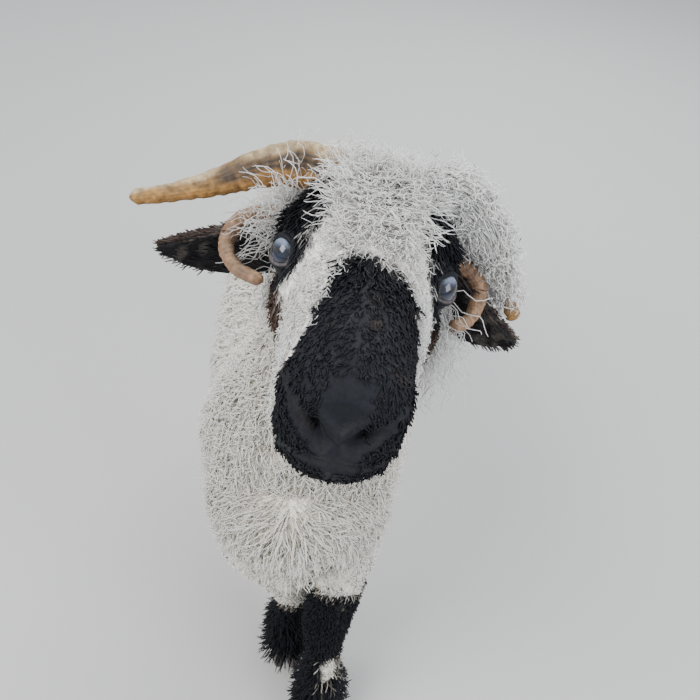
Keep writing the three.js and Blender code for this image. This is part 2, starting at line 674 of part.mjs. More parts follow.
// Room for both claws of a foot, cut out of the hair above and round them
function clawRoom(foot) {
  const room = new THREE.CylinderGeometry(1, 1, HOOF_HEIGHT + GAP, 16).rotateX(Math.PI / 2);
  room.scale(27, 34, 1).translate(foot.x, foot.y - 11, (HOOF_HEIGHT + GAP) / 2);
  return solid(room);
}

// What is left of a piece once it keeps a thin gap to the body that it grows from.
function clearOf(piece, body) {
  for (const way of [[1, 1, 1], [1, -1, -1], [-1, 1, -1], [-1, -1, 1], [0, 0, 0]])
    piece = piece.subtract(body.translate(way.map((step) => step * GAP)));
  return largest(piece);
}

const eyeRooms = [LEFT, RIGHT].map((side) => inHead(solid(eyeGeometry(side, GAP))));
const whole = joined(trunkPieces).subtract(joined([...eyeRooms, ...trunkCuts]));
for (const side of [LEFT, RIGHT]) {
  const name = sideName(side);
  const upper = clearOf(upperHornSolid(side), whole);
  const lower = clearOf(clearOf(sideHornSolid(side), whole), upper);
  addNode(`horn_${name}`, upper, "horn");
  addNode(`side_horn_${name}`, lower, "horn");
  addNode(`ear_${name}`, clearOf(clearOf(clearOf(earSolid(side), whole), upper), lower), "ear");
  addNode(`eye_${name}`, inHead(solid(eyeGeometry(side))), "eye");
}

const [head, belowHead] = part(whole, HEAD_CUT.point, HEAD_CUT.size, HEAD_CUT.tilt);
const [neck, belowNeck] = part(belowHead, NECK_CUT.point, NECK_CUT.size, NECK_CUT.tilt);
const [tail, torso] = part(belowNeck, TAIL_CUT.point, TAIL_CUT.size, TAIL_CUT.tilt);
addNode("head", head, "head");
addNode("neck", neck, "fleece");
addNode("torso", torso, "fleece");
addNode("tail", tail, "fleece");

// The origin goes to the middle of the outline on the floor.
const box = new THREE.Box3().setFromObject(sheep);
const middle = box.getCenter(V());
sheep.position.set(-middle.x, -middle.y, -box.min.z);

export default sheep;
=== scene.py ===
"""A young four-horned Valais Blacknose type sheep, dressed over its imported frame."""

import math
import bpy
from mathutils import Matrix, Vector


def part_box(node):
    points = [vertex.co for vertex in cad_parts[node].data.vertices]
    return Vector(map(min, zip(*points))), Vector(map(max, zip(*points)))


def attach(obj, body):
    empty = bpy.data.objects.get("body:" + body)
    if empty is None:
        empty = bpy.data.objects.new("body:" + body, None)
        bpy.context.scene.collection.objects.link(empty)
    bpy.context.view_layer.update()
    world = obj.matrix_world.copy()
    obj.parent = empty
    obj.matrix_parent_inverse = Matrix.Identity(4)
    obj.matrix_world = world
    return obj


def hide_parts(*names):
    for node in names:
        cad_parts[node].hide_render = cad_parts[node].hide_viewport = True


bl_info = {
    "name": "Valais Blacknose Sheep",
    "version": (1, 0, 0),
    "blender": (4, 5, 0),
    "location": "View3D > Sidebar > Sheep",
    "description": "Builds the skin, curly fleece, horns, eyes and hooves of a standing sheep",
    "category": "Object",
}

import bmesh
import bpy
import numpy as np
from mathutils import Matrix, Vector
from mathutils.bvhtree import BVHTree

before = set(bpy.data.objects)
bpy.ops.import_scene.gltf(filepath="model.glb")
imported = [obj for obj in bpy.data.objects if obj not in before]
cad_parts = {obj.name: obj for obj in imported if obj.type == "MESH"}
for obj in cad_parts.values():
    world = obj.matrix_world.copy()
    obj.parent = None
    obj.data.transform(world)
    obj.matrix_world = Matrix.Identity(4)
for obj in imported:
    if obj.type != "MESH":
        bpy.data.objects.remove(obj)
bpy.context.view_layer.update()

# The frame's forms, in its own millimetres before its origin was set
BODY_X = -38.0
SOCK_TOP = 128.0
HOOF_HEIGHT = 34.0
LEFT, RIGHT = 1, -1
SIDES = {LEFT: "left", RIGHT: "right"}
FORE = {LEFT: (6.0, -36.0), RIGHT: (-48.0, 48.0)}
FORE_BLACK = {LEFT: 275.0, RIGHT: 172.0}  # how far up each fore leg is black
HIND = {LEFT: (BODY_X + 66, 520.0), RIGHT: (BODY_X - 66, 556.0)}
TOE_REACH = 41.0  # from a foot's centre to its toe
HEAD_PLACE = np.array([4.0, -29.0, 799.0])
HEAD_TURN = (-0.2, -19.0, 7.0)  # yaw, pitch and roll in degrees
EYE = np.array([52.0, 0.0, 2.0])
EYE_RADIUS = 14.0
GAZE = np.array([0.72, -0.66, 0.2])


def frame_shift():
    """How far the frame's origin lies from that of the forms, in metres, from the left forefoot."""
    claws = [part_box(f"fore_claw_left_{part}") for part in ("out", "in")]
    low = np.min([np.array(low) for low, high in claws], axis=0)
    high = np.max([np.array(high) for low, high in claws], axis=0)
    x, y = FORE[LEFT]
    return np.array([(low[0] + high[0]) / 2 - x / 1000, low[1] + (TOE_REACH - y) / 1000, low[2]])


SHIFT = frame_shift()


def to_world(points):
    """Millimetres of the forms to metres of the frame."""
    return np.asarray(points) / 1000 + SHIFT


def head_axes():
    """The head's turn as a matrix whose columns are its own axes."""
    yaw, pitch, roll = (math.radians(a) for a in HEAD_TURN)
    turn = Matrix.Rotation(yaw, 3, "Z") @ Matrix.Rotation(pitch, 3, "X") @ Matrix.Rotation(roll, 3, "Y")
    return np.array(turn)


HEAD_AXES = head_axes()


def from_head(points):
    """Head millimetres to millimetres of the forms."""
    return np.asarray(points) @ HEAD_AXES.T + HEAD_PLACE


def unit(v):
    """Rows scaled to length one."""
    return v / np.maximum(np.linalg.norm(v, axis=-1, keepdims=True), 1e-9)


def ease(x, low, high):
    """Zero below low, one above high, smooth between."""
    t = np.clip((x - low) / (high - low), 0, 1)
    return t * t * (3 - 2 * t)


def spline(points, t):
    """A centripetal Catmull-Rom curve through rows of points, at t from 0 to 1."""
    p = np.asarray(points, float)
    last = len(p) - 1
    place = np.clip(np.asarray(t, float), 0, 1) * last
    i = np.minimum(place.astype(int), last - 1)
    w = (place - i)[:, None]
    padded = np.vstack([2 * p[0] - p[1], p, 2 * p[-1] - p[-2]])
    a, b, c, d = (padded[i + k] for k in range(4))
    gaps = [np.sqrt(np.linalg.norm(q - r, axis=1, keepdims=True)) for q, r in ((b, a), (c, b), (d, c))]
    g0, g1, g2 = (np.where(g < 1e-4, 1.0, g) for g in gaps)
    start = ((b - a) / g0 - (c - a) / (g0 + g1) + (c - b) / g1) * g1
    end = ((c - b) / g1 - (d - b) / (g1 + g2) + (d - c) / g2) * g1
    return b + start * w + (3 * (c - b) - 2 * start - end) * w**2 + (2 * (b - c) + start + end) * w**3


class Form:
    """A body form: centres, half-widths, heights above and below, and how square its sections are."""

    def __init__(self, stations, up, shape=None):
        rows = [tuple(s) + (2.0,) * (7 - len(s)) for s in stations]
        table = np.array(rows, float)
        self.centres, self.sizes, self.square = table[:, :3], table[:, 3:6], table[:, 6]
        self.up = np.array(up, float)
        self.shape = shape

    def point(self, u, angle, grow=0.0):
        """Points of the surface, moved out by grow."""
        u = np.clip(u, 0, 1)
        centre = spline(self.centres, u)
        step = 1e-3
        ahead = spline(self.centres, np.minimum(u + step, 1))
        along = unit(ahead - spline(self.centres, np.maximum(u - step, 0)))
        side = unit(np.cross(self.up, along))
        top = np.cross(along, side)
        size = spline(self.sizes, u)
        k = u * (len(self.square) - 1)
        power = 2 / np.interp(k, np.arange(len(self.square)), self.square)
        c, s = np.cos(angle), np.sin(angle)
        x = np.sign(c) * np.abs(c) ** power * (size[:, 0] + grow)
        z = np.sign(s) * np.abs(s) ** power * (np.where(s > 0, size[:, 1], size[:, 2]) + grow)
        p = centre + side * x[:, None] + top * z[:, None]
        return self.shape(p) if self.shape else p

    def normal(self, u, angle):
        """Outward unit normals of the surface."""
        e = 2e-3
        du = self.point(np.minimum(u + e, 1), angle) - self.point(np.maximum(u - e, 0), angle)
        da = self.point(u, angle + e) - self.point(u, angle - e)
        n = unit(np.cross(da, du))
        inner = 0.12 + 0.76 * u  # a little in from the ends, so that the end caps face out too
        out = self.point(u, angle) - spline(self.centres, inner)
        return n * np.where(np.sum(n * out, axis=1) < 0, -1, 1)[:, None]

    def grid(self, rings, sides, grow=0.0):
        """Vertices and faces of the closed surface."""
        around = 2 * np.pi * (np.arange(sides) + 0.5) / sides
        u, a = np.meshgrid(np.linspace(0, 1, rings + 1), around, indexing="ij")
        points = self.point(u.ravel(), a.ravel(), grow)
        k = np.arange(rings * sides)
        right = (k // sides) * sides + (k + 1) % sides
        faces = [tuple(f) for f in np.stack([k, k + sides, right + sides, right], axis=1)]
        ends = [points[:sides].mean(axis=0), points[-sides:].mean(axis=0)]
        first, last = len(points), len(points) + 1
        base = rings * sides
        for j in range(sides):
            n = (j + 1) % sides
            faces.append((first, j, n))
            faces.append((last, base + n, base + j))
        return np.vstack([points, ends]), faces


def swell(p, x, y, z, reach):
    """A soft bump's weight round one place on each side of the head."""
    side = np.where(p[:, 0] < 0, -1.0, 1.0)
    mirrored = np.column_stack([x * side, np.full(len(p), float(y)), np.full(len(p), float(z))])
    return np.exp(-np.sum((p - mirrored) ** 2, axis=1) / reach**2)


def line_distance(p, path):
    """Each point's distance to a bent line."""
    best = np.full(len(p), 1e9)
    for a, b in zip(path[:-1], path[1:]):
        a, b = np.array(a, float), np.array(b, float)
        t = np.clip((p - a) @ (b - a) / np.dot(b - a, b - a), 0, 1)
        best = np.minimum(best, np.linalg.norm(p - a - t[:, None] * (b - a), axis=1))
    return best


def both_sides(p):
    """The same points with all of them on the left."""
    return np.column_stack([np.abs(p[:, 0]), p[:, 1], p[:, 2]])


NOSTRIL = [(9, -161, -41), (17, -158, -33), (24, -149, -25), (29, -136, -20)]
MOUTH = [(42, -94, -52), (39, -118, -56), (29, -146, -56), (13, -158, -55), (0, -161, -54)]
CLEFT = [(0, -163, -40), (0, -161, -47), (0, -159, -54)]


def face_shape(p):
    """Brow, cheek bones and muzzle, with nostrils, lips and the mouth's line sunk or raised."""
    side = np.where(p[:, 0] < 0, -1, 1)
    out_x = 9 * swell(p, 54, 4, 18, 20) + 5 * swell(p, 50, -16, -24, 24) + 1.5 * swell(p, 30, -136, -26, 18)
    out_x -= 6 * swell(p, 58, -4, 0, 13)
    up = 4 * swell(p, 40, 6, 44, 22) + 3 * swell(p, 22, -143, -12, 12) - 3 * swell(p, 0, -70, 30, 26)
    q = p.copy()
    q[:, 0] += side * out_x
    q[:, 1] -= 4 * swell(p, 16, -152, -22, 14)
    q[:, 2] += up
    outward = unit(q - np.column_stack([np.zeros(len(q)), np.maximum(q[:, 1], -118), np.full(len(q), -36.0)]))
    m = both_sides(q)
    nostril = line_distance(m, NOSTRIL)
    mouth = line_distance(m, MOUTH)
    cleft = line_distance(m, CLEFT)
    depth = -11 * np.exp(-((nostril / 4.2) ** 2)) + 2.4 * np.exp(-(((nostril - 8.5) / 3) ** 2))
    depth += -4.6 * np.exp(-((mouth / 1.9) ** 2)) + 1.8 * np.exp(-(((mouth - 6) / 4) ** 2))
    depth += -2.4 * np.exp(-((cleft / 1.8) ** 2))
    return q + outward * depth[:, None]


TRUNK = Form(
    [
        (BODY_X, -66, 468, 8, 8, 8),
        (BODY_X, -58, 474, 54, 58, 44),
        (BODY_X, -15, 468, 88, 104, 76, 2.2),
        (BODY_X, 90, 468, 108, 132, 122, 2.3),
        (BODY_X, 230, 456, 130, 136, 142, 2.3),
        (BODY_X, 380, 454, 136, 136, 132, 2.3),
        (BODY_X, 510, 458, 122, 128, 112, 2.3),
        (BODY_X, 600, 458, 92, 100, 86),
        (BODY_X, 640, 456, 46, 50, 44),
        (BODY_X, 646, 456, 8, 8, 8),
    ],
    (0, 0, 1),
)
NECK = Form(
    [
        (BODY_X, 66, 440, 92, 112, 98),
        (BODY_X - 2, 42, 520, 100, 98, 88),
        (BODY_X + 4, 22, 592, 86, 78, 74),
        (BODY_X + 18, 8, 660, 68, 64, 62),
        (BODY_X + 32, 6, 718, 57, 54, 52),
        (BODY_X + 42, 14, 768, 46, 44, 42),
    ],
    (0, 1, 0.2),
)
TAIL = Form(
    [
        (BODY_X, 596, 520, 24, 20, 24),
        (BODY_X, 646, 516, 27, 20, 24),
        (BODY_X, 680, 470, 26, 18, 20),
        (BODY_X, 690, 400, 24, 16, 17),
        (BODY_X, 688, 330, 20, 13, 14),
        (BODY_X, 682, 276, 11, 8, 8),
        (BODY_X, 680, 268, 3, 3, 3),
    ],
    (0, 1, 0.3),
)
HEAD = Form(
    [
        (0, -157, -42, 5, 6, 6),
        (0, -155, -42, 21, 24, 27, 2.2),
        (0, -143, -40, 33, 36, 41, 2.3),
        (0, -118, -36, 37, 43, 45, 2.4),
        (0, -85, -32, 39, 49, 45, 2.4),
        (0, -45, -26, 46, 58, 52, 2.3),
        (0, -10, -22, 54, 66, 64, 2.3),
        (0, 25, -16, 60, 74, 70, 2.2),
        (0, 58, -6, 58, 74, 62, 2.1),
        (0, 86, 4, 46, 54, 44),
        (0, 100, 8, 26, 30, 26),
        (0, 104, 9, 6, 6, 6),
    ],
    (0, 0, 1),
    face_shape,
)


def fore_form(side):
    """A fore leg from the brisket to its hoof."""
    x, y = FORE[side]
    top = BODY_X + 60 * side
    shoulder = 42
    run = y + 5 - shoulder
    return Form(
        [
            (top, 52, 400, 38, 60, 60),
            (top, shoulder, 320, 35, 46, 48),
            ((top + x) / 2, shoulder + 0.3 * run, 250, 30, 33, 34),
            (x, shoulder + 0.55 * run, 192, 27, 29, 28),
            (x, shoulder + 0.8 * run, 145, 20, 20, 21),
            (x, shoulder + 0.95 * run, 105, 19, 19, 20),
            (x, y + 5, 76, 22, 23, 24),
            (x, y - 2, 50, 20, 20, 21),
            (x, y - 6, HOOF_HEIGHT, 23, 25, 24),
        ],
        (0, -1, 0),
    )


def hind_form(side):
    """A hind leg from the hip to its hoof."""
    x, y = HIND[side]
    return Form(
        [
            (BODY_X + 78 * side, 530, 470, 48, 82, 70),
            (BODY_X + 84 * side, 520, 395, 54, 84, 82),
            (BODY_X + 82 * side, 524, 330, 46, 64, 66),
            (x + 7 * side, y + 22, 272, 34, 44, 42),
            (x + 2 * side, y + 48, 226, 26, 32, 29),
            (x, y + 52, 192, 24, 27, 25),
            (x, y + 34, 145, 20, 21, 20),
            (x, y + 22, 105, 19, 20, 19),
            (x, y + 13, 76, 22, 24, 23),
            (x, y + 2, 50, 20, 21, 20),
            (x, y - 4, HOOF_HEIGHT, 23, 25, 24),
        ],
        (0, -1, 0),
    )


FORE_LEGS = {side: fore_form(side) for side in SIDES}
HIND_LEGS = {side: hind_form(side) for side in SIDES}
BODY_FORMS = [TRUNK, NECK, TAIL, *FORE_LEGS.values(), *HIND_LEGS.values()]
FORM_NAMES = ["trunk", "neck", "tail", "fore_left", "fore_right", "hind_left", "hind_right"]
FIRST_LEG = 3  # place of the first leg in these two lists


class SheepSizes(bpy.types.PropertyGroup):
    """Sizes of the coat."""

    fleece_length: bpy.props.FloatProperty(
        name="Fleece length", description="Length of the wool on the trunk", default=0.022, unit="LENGTH"
    )
    fleece_spacing: bpy.props.FloatProperty(
        name="Fleece spacing", description="Distance between the back's tufts", default=0.0072, unit="LENGTH"
    )
    neck_spacing: bpy.props.FloatProperty(
        name="Neck spacing", description="Distance between the neck's tufts", default=0.0040, unit="LENGTH"
    )
    leg_spacing: bpy.props.FloatProperty(
        name="Leg spacing", description="Distance between the legs' tufts", default=0.0058, unit="LENGTH"
    )
    crown_length: bpy.props.FloatProperty(
        name="Crown length", description="Length of the curls on the crown", default=0.024, unit="LENGTH"
    )
    crown_spacing: bpy.props.FloatProperty(
        name="Crown spacing", description="Distance between the head's curls", default=0.0026, unit="LENGTH"
    )
    face_length: bpy.props.FloatProperty(
        name="Face hair", description="Length of the hair on the muzzle", default=0.0048, unit="LENGTH"
    )
    sock_length: bpy.props.FloatProperty(
        name="Sock hair", description="Length of the hair on the black socks", default=0.024, unit="LENGTH"
    )
    seed: bpy.props.IntProperty(name="Seed", description="Start of every random draw", default=7)


def colour_property(label, words, value):
    """A colour that a user may change."""
    return bpy.props.FloatVectorProperty(
        name=label, description=words, default=value, subtype="COLOR", size=3, min=0, max=1
    )


class SheepColours(bpy.types.PropertyGroup):
    """Colours of the coat, horns, eyes and hooves."""

    wool: colour_property("Wool", "Cream-white wool of the body", (0.88, 0.82, 0.71))
    crown: colour_property("Crown wool", "White wool of the head", (0.92, 0.90, 0.85))
    black: colour_property("Black", "Black hair of nose and socks", (0.006, 0.007, 0.011))
    brown: colour_property("Brown", "Brown-grey hair of cheeks and ears", (0.075, 0.048, 0.036))
    horn: colour_property("Horn", "Amber of the horns", (0.40, 0.225, 0.075))
    horn_dark: colour_property("Dark horn", "Grey of the horns near the head", (0.024, 0.026, 0.032))
    iris: colour_property("Iris", "Dark blue of the eyes", (0.006, 0.012, 0.035))
    hoof: colour_property("Hoof", "Grey-brown of the hooves", (0.17, 0.15, 0.135))


def mesh_object(name, points, faces, smooth=True):
    """A new object from metres and faces."""
    mesh = bpy.data.meshes.new(name)
    mesh.from_pydata([tuple(p) for p in points], [], faces)
    mesh.update()
    if smooth:
        mesh.shade_smooth()
    piece = bpy.data.objects.new(name, mesh)
    bpy.context.collection.objects.link(piece)
    return piece


def bands(rows, steps):
    """Faces between closed rings of steps vertices, for one band fewer than rows."""
    k = np.arange((rows - 1) * steps)
    after = (k // steps) * steps + (k + 1) % steps
    return [tuple(f) for f in np.stack([k, after, after + steps, k + steps], axis=1).tolist()]


def apply_modifiers(piece):
    """Replaces the piece's mesh by what its modifiers make of it."""
    graph = bpy.context.evaluated_depsgraph_get()
    made = bpy.data.meshes.new_from_object(piece.evaluated_get(graph))
    old = piece.data
    piece.modifiers.clear()
    piece.data = made
    made.name = piece.name
    bpy.data.meshes.remove(old)


def paint(mesh, colours):
    """Stores one colour for each vertex under the name Coat."""
    layer = mesh.color_attributes.new("Coat", "FLOAT_COLOR", "POINT")
    opaque = np.column_stack([colours, np.ones(len(colours))])
    layer.data.foreach_set("color", opaque.ravel().astype(np.float32))


def vertices_of(mesh):
    """The mesh's vertices as rows."""
    flat = np.empty(3 * len(mesh.vertices), np.float32)
    mesh.vertices.foreach_get("co", flat)
    return flat.reshape(-1, 3).astype(float)


def wander(p, pitch, seed):
    """Smooth waves from about -1 to 1 over places p, in the same unit as pitch."""
    rng = np.random.default_rng(seed)
    total = np.zeros(len(p))
    for _ in range(7):
        way = unit(rng.normal(size=3))
        total += np.sin(p @ way * 2 * np.pi / (pitch * rng.uniform(0.7, 1.5)) + rng.uniform(0, 6.3))
    return total / 3.2


# Markings, shared by skin and coat


def blend_colours(base, colour, share):
    """base with a share of colour laid over it."""
    share = np.clip(share, 0, 1)[:, None]
    return base * (1 - share) + np.asarray(colour)[None, :] * share


def eye_patch_distance(m):
    """How far places of the left half lie from the middle of the black patch; one is its edge."""
    brow = np.linalg.norm((m[:, 1:] - np.array([18.0, 27.0])) / np.array([32.0, 44.0]), axis=1)
    front = np.linalg.norm((m[:, 1:] - np.array([-8.0, 2.0])) / np.array([25.0, 24.0]), axis=1)
    return np.minimum(brow, front)


def head_markings(h, colours):
    """Colour of each place h of the head, and how much of it is bare of wool."""
    m = both_sides(h)
    x, y, z = h.T
    edge = 7 * wander(h, 34, 3) + 4 * wander(h, 12, 4)
    near_side = 3.6 * np.maximum(0, -15 - x)
    far_side = 1.8 * np.maximum(0, x - 26)
    low = np.where(x < 0, 0.5, 0.25) * np.maximum(0, -8 - z)
    start = np.maximum(-56 - near_side - far_side - low, -124)
    nose = ease(start - y + edge, -8, 10)
    eye = ease(1.12 - eye_patch_distance(m) + edge / 60, 0, 0.3) * ease(m[:, 0], 30, 39)
    c = (m[:, 1:] - np.array([-6.0, -32.0])) / np.array([42.0, 27.0])
    cheek = ease(1.1 - np.linalg.norm(c, axis=1) + edge / 50, 0, 0.35) * ease(m[:, 0], 27, 37)
    made = np.tile(np.array(colours.crown), (len(h), 1))
    made = blend_colours(made, colours.brown, cheek)
    made = blend_colours(made, colours.brown, nose)
    made = blend_colours(made, colours.black, ease(nose + 0.2 * wander(h, 20, 5), 0.3, 0.85))
    made = blend_colours(made, colours.black, 1.3 * eye)
    bare = np.clip(np.maximum.reduce([nose, eye, cheek]), 0, 1)
    return made, bare


def body_markings(p, colours):
    """Colour of each place p of trunk, neck, legs and tail, and how much of it is black."""
    made = np.tile(np.array(colours.wool), (len(p), 1))
    # Browner in broad random patches and towards the bottom of the body.
    brown_tint = ease(0.5 * wander(p, 120, 11) + 0.6, 0.2, 1.3) * 0.25 + 0.3 * ease(330 - p[:, 2], 0, 160)
    made = blend_colours(made, (0.46, 0.36, 0.22), brown_tint * 0.45)
    edge = 8 * wander(p, 26, 12)
    at_fore = p[:, 1] < 250
    left = p[:, 0] > (FORE[LEFT][0] + FORE[RIGHT][0]) / 2
    top = np.where(at_fore, np.where(left, FORE_BLACK[LEFT], FORE_BLACK[RIGHT]), SOCK_TOP + 12)
    black = ease(top - p[:, 2] + edge, -5, 7)
    x, y = FORE[LEFT]
    pale = (p - np.array([x + 12, y - 16, 130])) / np.array([15, 34, 30])
    black = black * (1 - ease(1.1 - np.linalg.norm(pale, axis=1) + edge / 60, 0, 0.3))
    for x, y in HIND.values():
        d = (p - np.array([x, y + 80, 206])) / np.array([26, 26, 24])
        black = np.maximum(black, ease(1.1 - np.linalg.norm(d, axis=1), 0, 0.35))
    made = blend_colours(made, colours.black, black)
    return made, black


# Materials


WOOLLY_SHEEN = 0.2  # above it a material is wool, which light goes into, and below it hair or horn
DULL_SHINE = 0.22


def new_material(name, roughness, sheen=0.0):
    """A material with its shader and the tools to add nodes."""
    material = bpy.data.materials.new(name)
    material.use_nodes = True
    tree = material.node_tree
    shader = tree.nodes["Principled BSDF"]
    shader.inputs["Roughness"].default_value = roughness
    if sheen:
        shader.inputs["Sheen Weight"].default_value = sheen
        shader.inputs["Sheen Roughness"].default_value = 0.5
    if sheen < WOOLLY_SHEEN:
        shader.inputs["Specular IOR Level"].default_value = DULL_SHINE
    return material, tree, shader


def add(tree, kind, **values):
    """A node with its settings and its unlinked inputs."""
    node = tree.nodes.new(kind)
    for key, value in values.items():
        if key in node.inputs:
            node.inputs[key].default_value = value
        else:
            setattr(node, key, value)
    return node


def noise(tree, coordinates, scale, detail=3.0):
    """A noise texture on the given coordinates."""
    made = add(tree, "ShaderNodeTexNoise", Scale=scale, Detail=detail)
    tree.links.new(coordinates, made.inputs["Vector"])
    return made.outputs["Fac"]


def spread(tree, value, low, high, to_low, to_high):
    """A value taken from one range to another."""
    made = add(tree, "ShaderNodeMapRange")
    for index, number in ((1, low), (2, high), (3, to_low), (4, to_high)):
        made.inputs[index].default_value = number
    tree.links.new(value, made.inputs[0])
    return made.outputs[0]


def mixed(tree, blend_type, factor, first, second):
    """Two colours mixed. factor may be a number or a socket, and second a colour or a socket."""
    made = add(tree, "ShaderNodeMix", data_type="RGBA", blend_type=blend_type)
    for index, value in ((0, factor), (6, first), (7, second)):
        if hasattr(value, "is_output"):
            tree.links.new(value, made.inputs[index])
        elif index == 0:
            made.inputs[0].default_value = value
        else:
            made.inputs[index].default_value = (*value, 1)
    return made.outputs[2]


def object_places(tree):
    """Where each point lies in its own piece."""
    return add(tree, "ShaderNodeTexCoord").outputs["Object"]


def coat_marks(tree):
    """The colours stored in the mesh."""
    return add(tree, "ShaderNodeVertexColor", layer_name="Coat").outputs["Color"]


def base_colour(tree, shader, colour, value, low, high):
    """The base colour, made darker or lighter by a value."""
    toned = mixed(tree, "MULTIPLY", 1.0, colour, spread(tree, value, 0.3, 0.7, low, high))
    tree.links.new(toned, shader.inputs["Base Color"])


def bump(tree, shader, height, strength, distance):
    """Relief on the shader from a height value."""
    made = add(tree, "ShaderNodeBump", Strength=strength, Distance=distance)
    tree.links.new(height, made.inputs["Height"])
    tree.links.new(made.outputs["Normal"], shader.inputs["Normal"])


def coat_material(name, roughness, sheen, fleck, depth):
    """Hair or wool: the markings' colour with the strands' painted root shade, flecked along its fibres."""
    material, tree, shader = new_material(name, roughness, sheen)
    place = object_places(tree)
    marks = coat_marks(tree)
    fine = noise(tree, place, 620.0, 2.0)
    broad = noise(tree, place, 26.0, 3.0)
    shade = spread(tree, fine, 0.3, 0.7, 1 - fleck, 1 + 0.35 * fleck)
    patches = spread(tree, broad, 0.3, 0.7, 1 - 0.4 * fleck, 1.03)
    both = add(tree, "ShaderNodeMath", operation="MULTIPLY")
    tree.links.new(shade, both.inputs[0])
    tree.links.new(patches, both.inputs[1])
    tree.links.new(mixed(tree, "MULTIPLY", 1.0, marks, both.outputs[0]), shader.inputs["Base Color"])
    bump(tree, shader, fine, depth, 0.0016)
    if sheen > WOOLLY_SHEEN:
        shader.inputs["Subsurface Weight"].default_value = 0.7
        shader.inputs["Subsurface Radius"].default_value = (1.0, 0.92, 0.8)
        shader.inputs["Subsurface Scale"].default_value = 0.012
    return material


def skin_material():
    """Skin under the coat: woolly grain where it is pale, short hair and creases where it is dark."""
    material, tree, shader = new_material("skin", 0.8, 0.02)
    place = object_places(tree)
    marks = coat_marks(tree)
    fine = noise(tree, place, 420.0, 4.0)
    broad = noise(tree, place, 60.0, 3.0)
    base_colour(tree, shader, marks, fine, 0.6, 1.15)
    tree.links.new(spread(tree, broad, 0.3, 0.7, 0.55, 0.85), shader.inputs["Roughness"])
    bump(tree, shader, fine, 0.55, 0.0012)
    return material


def horn_material(colours):
    """Amber horn, grey and grained towards its root, with growth rings in its colour that painted shade
    darkens in their grooves.
    """
    material, tree, shader = new_material("horn", 0.5)
    place = object_places(tree)
    marks = coat_marks(tree)
    grain = noise(tree, place, 240.0, 5.0)
    streak = noise(tree, place, 55.0, 4.0)
    toned = mixed(tree, "MULTIPLY", 1.0, marks, spread(tree, grain, 0.3, 0.7, 0.62, 1.2))
    dusty = mixed(tree, "MIX", spread(tree, streak, 0.45, 0.75, 0.0, 0.5), toned, tuple(colours.horn_dark))
    tree.links.new(dusty, shader.inputs["Base Color"])
    tree.links.new(spread(tree, grain, 0.3, 0.7, 0.38, 0.66), shader.inputs["Roughness"])
    bump(tree, shader, grain, 0.5, 0.0012)
    return material


def eye_material():
    """A dark blue-black eye with a painted reflection band and a wet surface."""
    material, tree, shader = new_material("eye", 0.12)
    shader.inputs["Coat Weight"].default_value = 1.0
    shader.inputs["Coat Roughness"].default_value = 0.02
    place = object_places(tree)
    marks = coat_marks(tree)
    rays = noise(tree, place, 500.0, 4.0)
    base_colour(tree, shader, marks, rays, 0.7, 1.3)
    return material


def hoof_material(colours):
    """Worn horn of the hooves with fine rings."""
    material, tree, shader = new_material("hoof", 0.6)
    place = object_places(tree)
    grain = noise(tree, place, 160.0, 5.0)
    wear = noise(tree, place, 38.0, 3.0)
    shade = mixed(tree, "MIX", spread(tree, wear, 0.35, 0.7, 0, 1), tuple(colours.hoof), (0.06, 0.05, 0.045))
    base_colour(tree, shader, shade, grain, 0.7, 1.2)
    tree.links.new(spread(tree, grain, 0.3, 0.7, 0.45, 0.75), shader.inputs["Roughness"])
    bump(tree, shader, grain, 0.5, 0.001)
    return material


# Tufts

PATCH = 0.003  # side of each tuft's place on the unwrap
MOST_TRIANGLES = 190000  # of one coat piece


def triangle_count(rings):
    """Triangles of one tuft."""
    return 6 * (rings - 1) + 4


def curve_tufts(tufts, rings):
    """The bent, curling middle line of each tuft, with its last step short for a blunt tip."""
    t = np.sin(np.pi / 2 * np.linspace(0, 1, rings + 1) ** 0.9)
    column = t[None, :, None]
    root, normal, lie = (tufts[key][:, None, :] for key in ("root", "normal", "lie"))
    length, stand, curl = (tufts[key][:, None, None] for key in ("length", "stand", "curl"))
    first = unit(normal * stand + lie * (1 - stand))
    side = unit(np.cross(first, lie + 0.01))
    other = np.cross(first, side)
    line = root - normal * tufts["sink"][:, None, None] + first * length * column
    line = line + lie * length * 0.42 * column**2 * (1 - 0.5 * stand)
    turn = (2 * np.pi * tufts["turns"][:, None] * t[None, :] + tufts["phase"][:, None])[:, :, None]
    line = line + curl * column**0.8 * (np.cos(turn) * side + np.sin(turn) * other)
    return line + tufts["gather"][:, None, :] * column**1.5


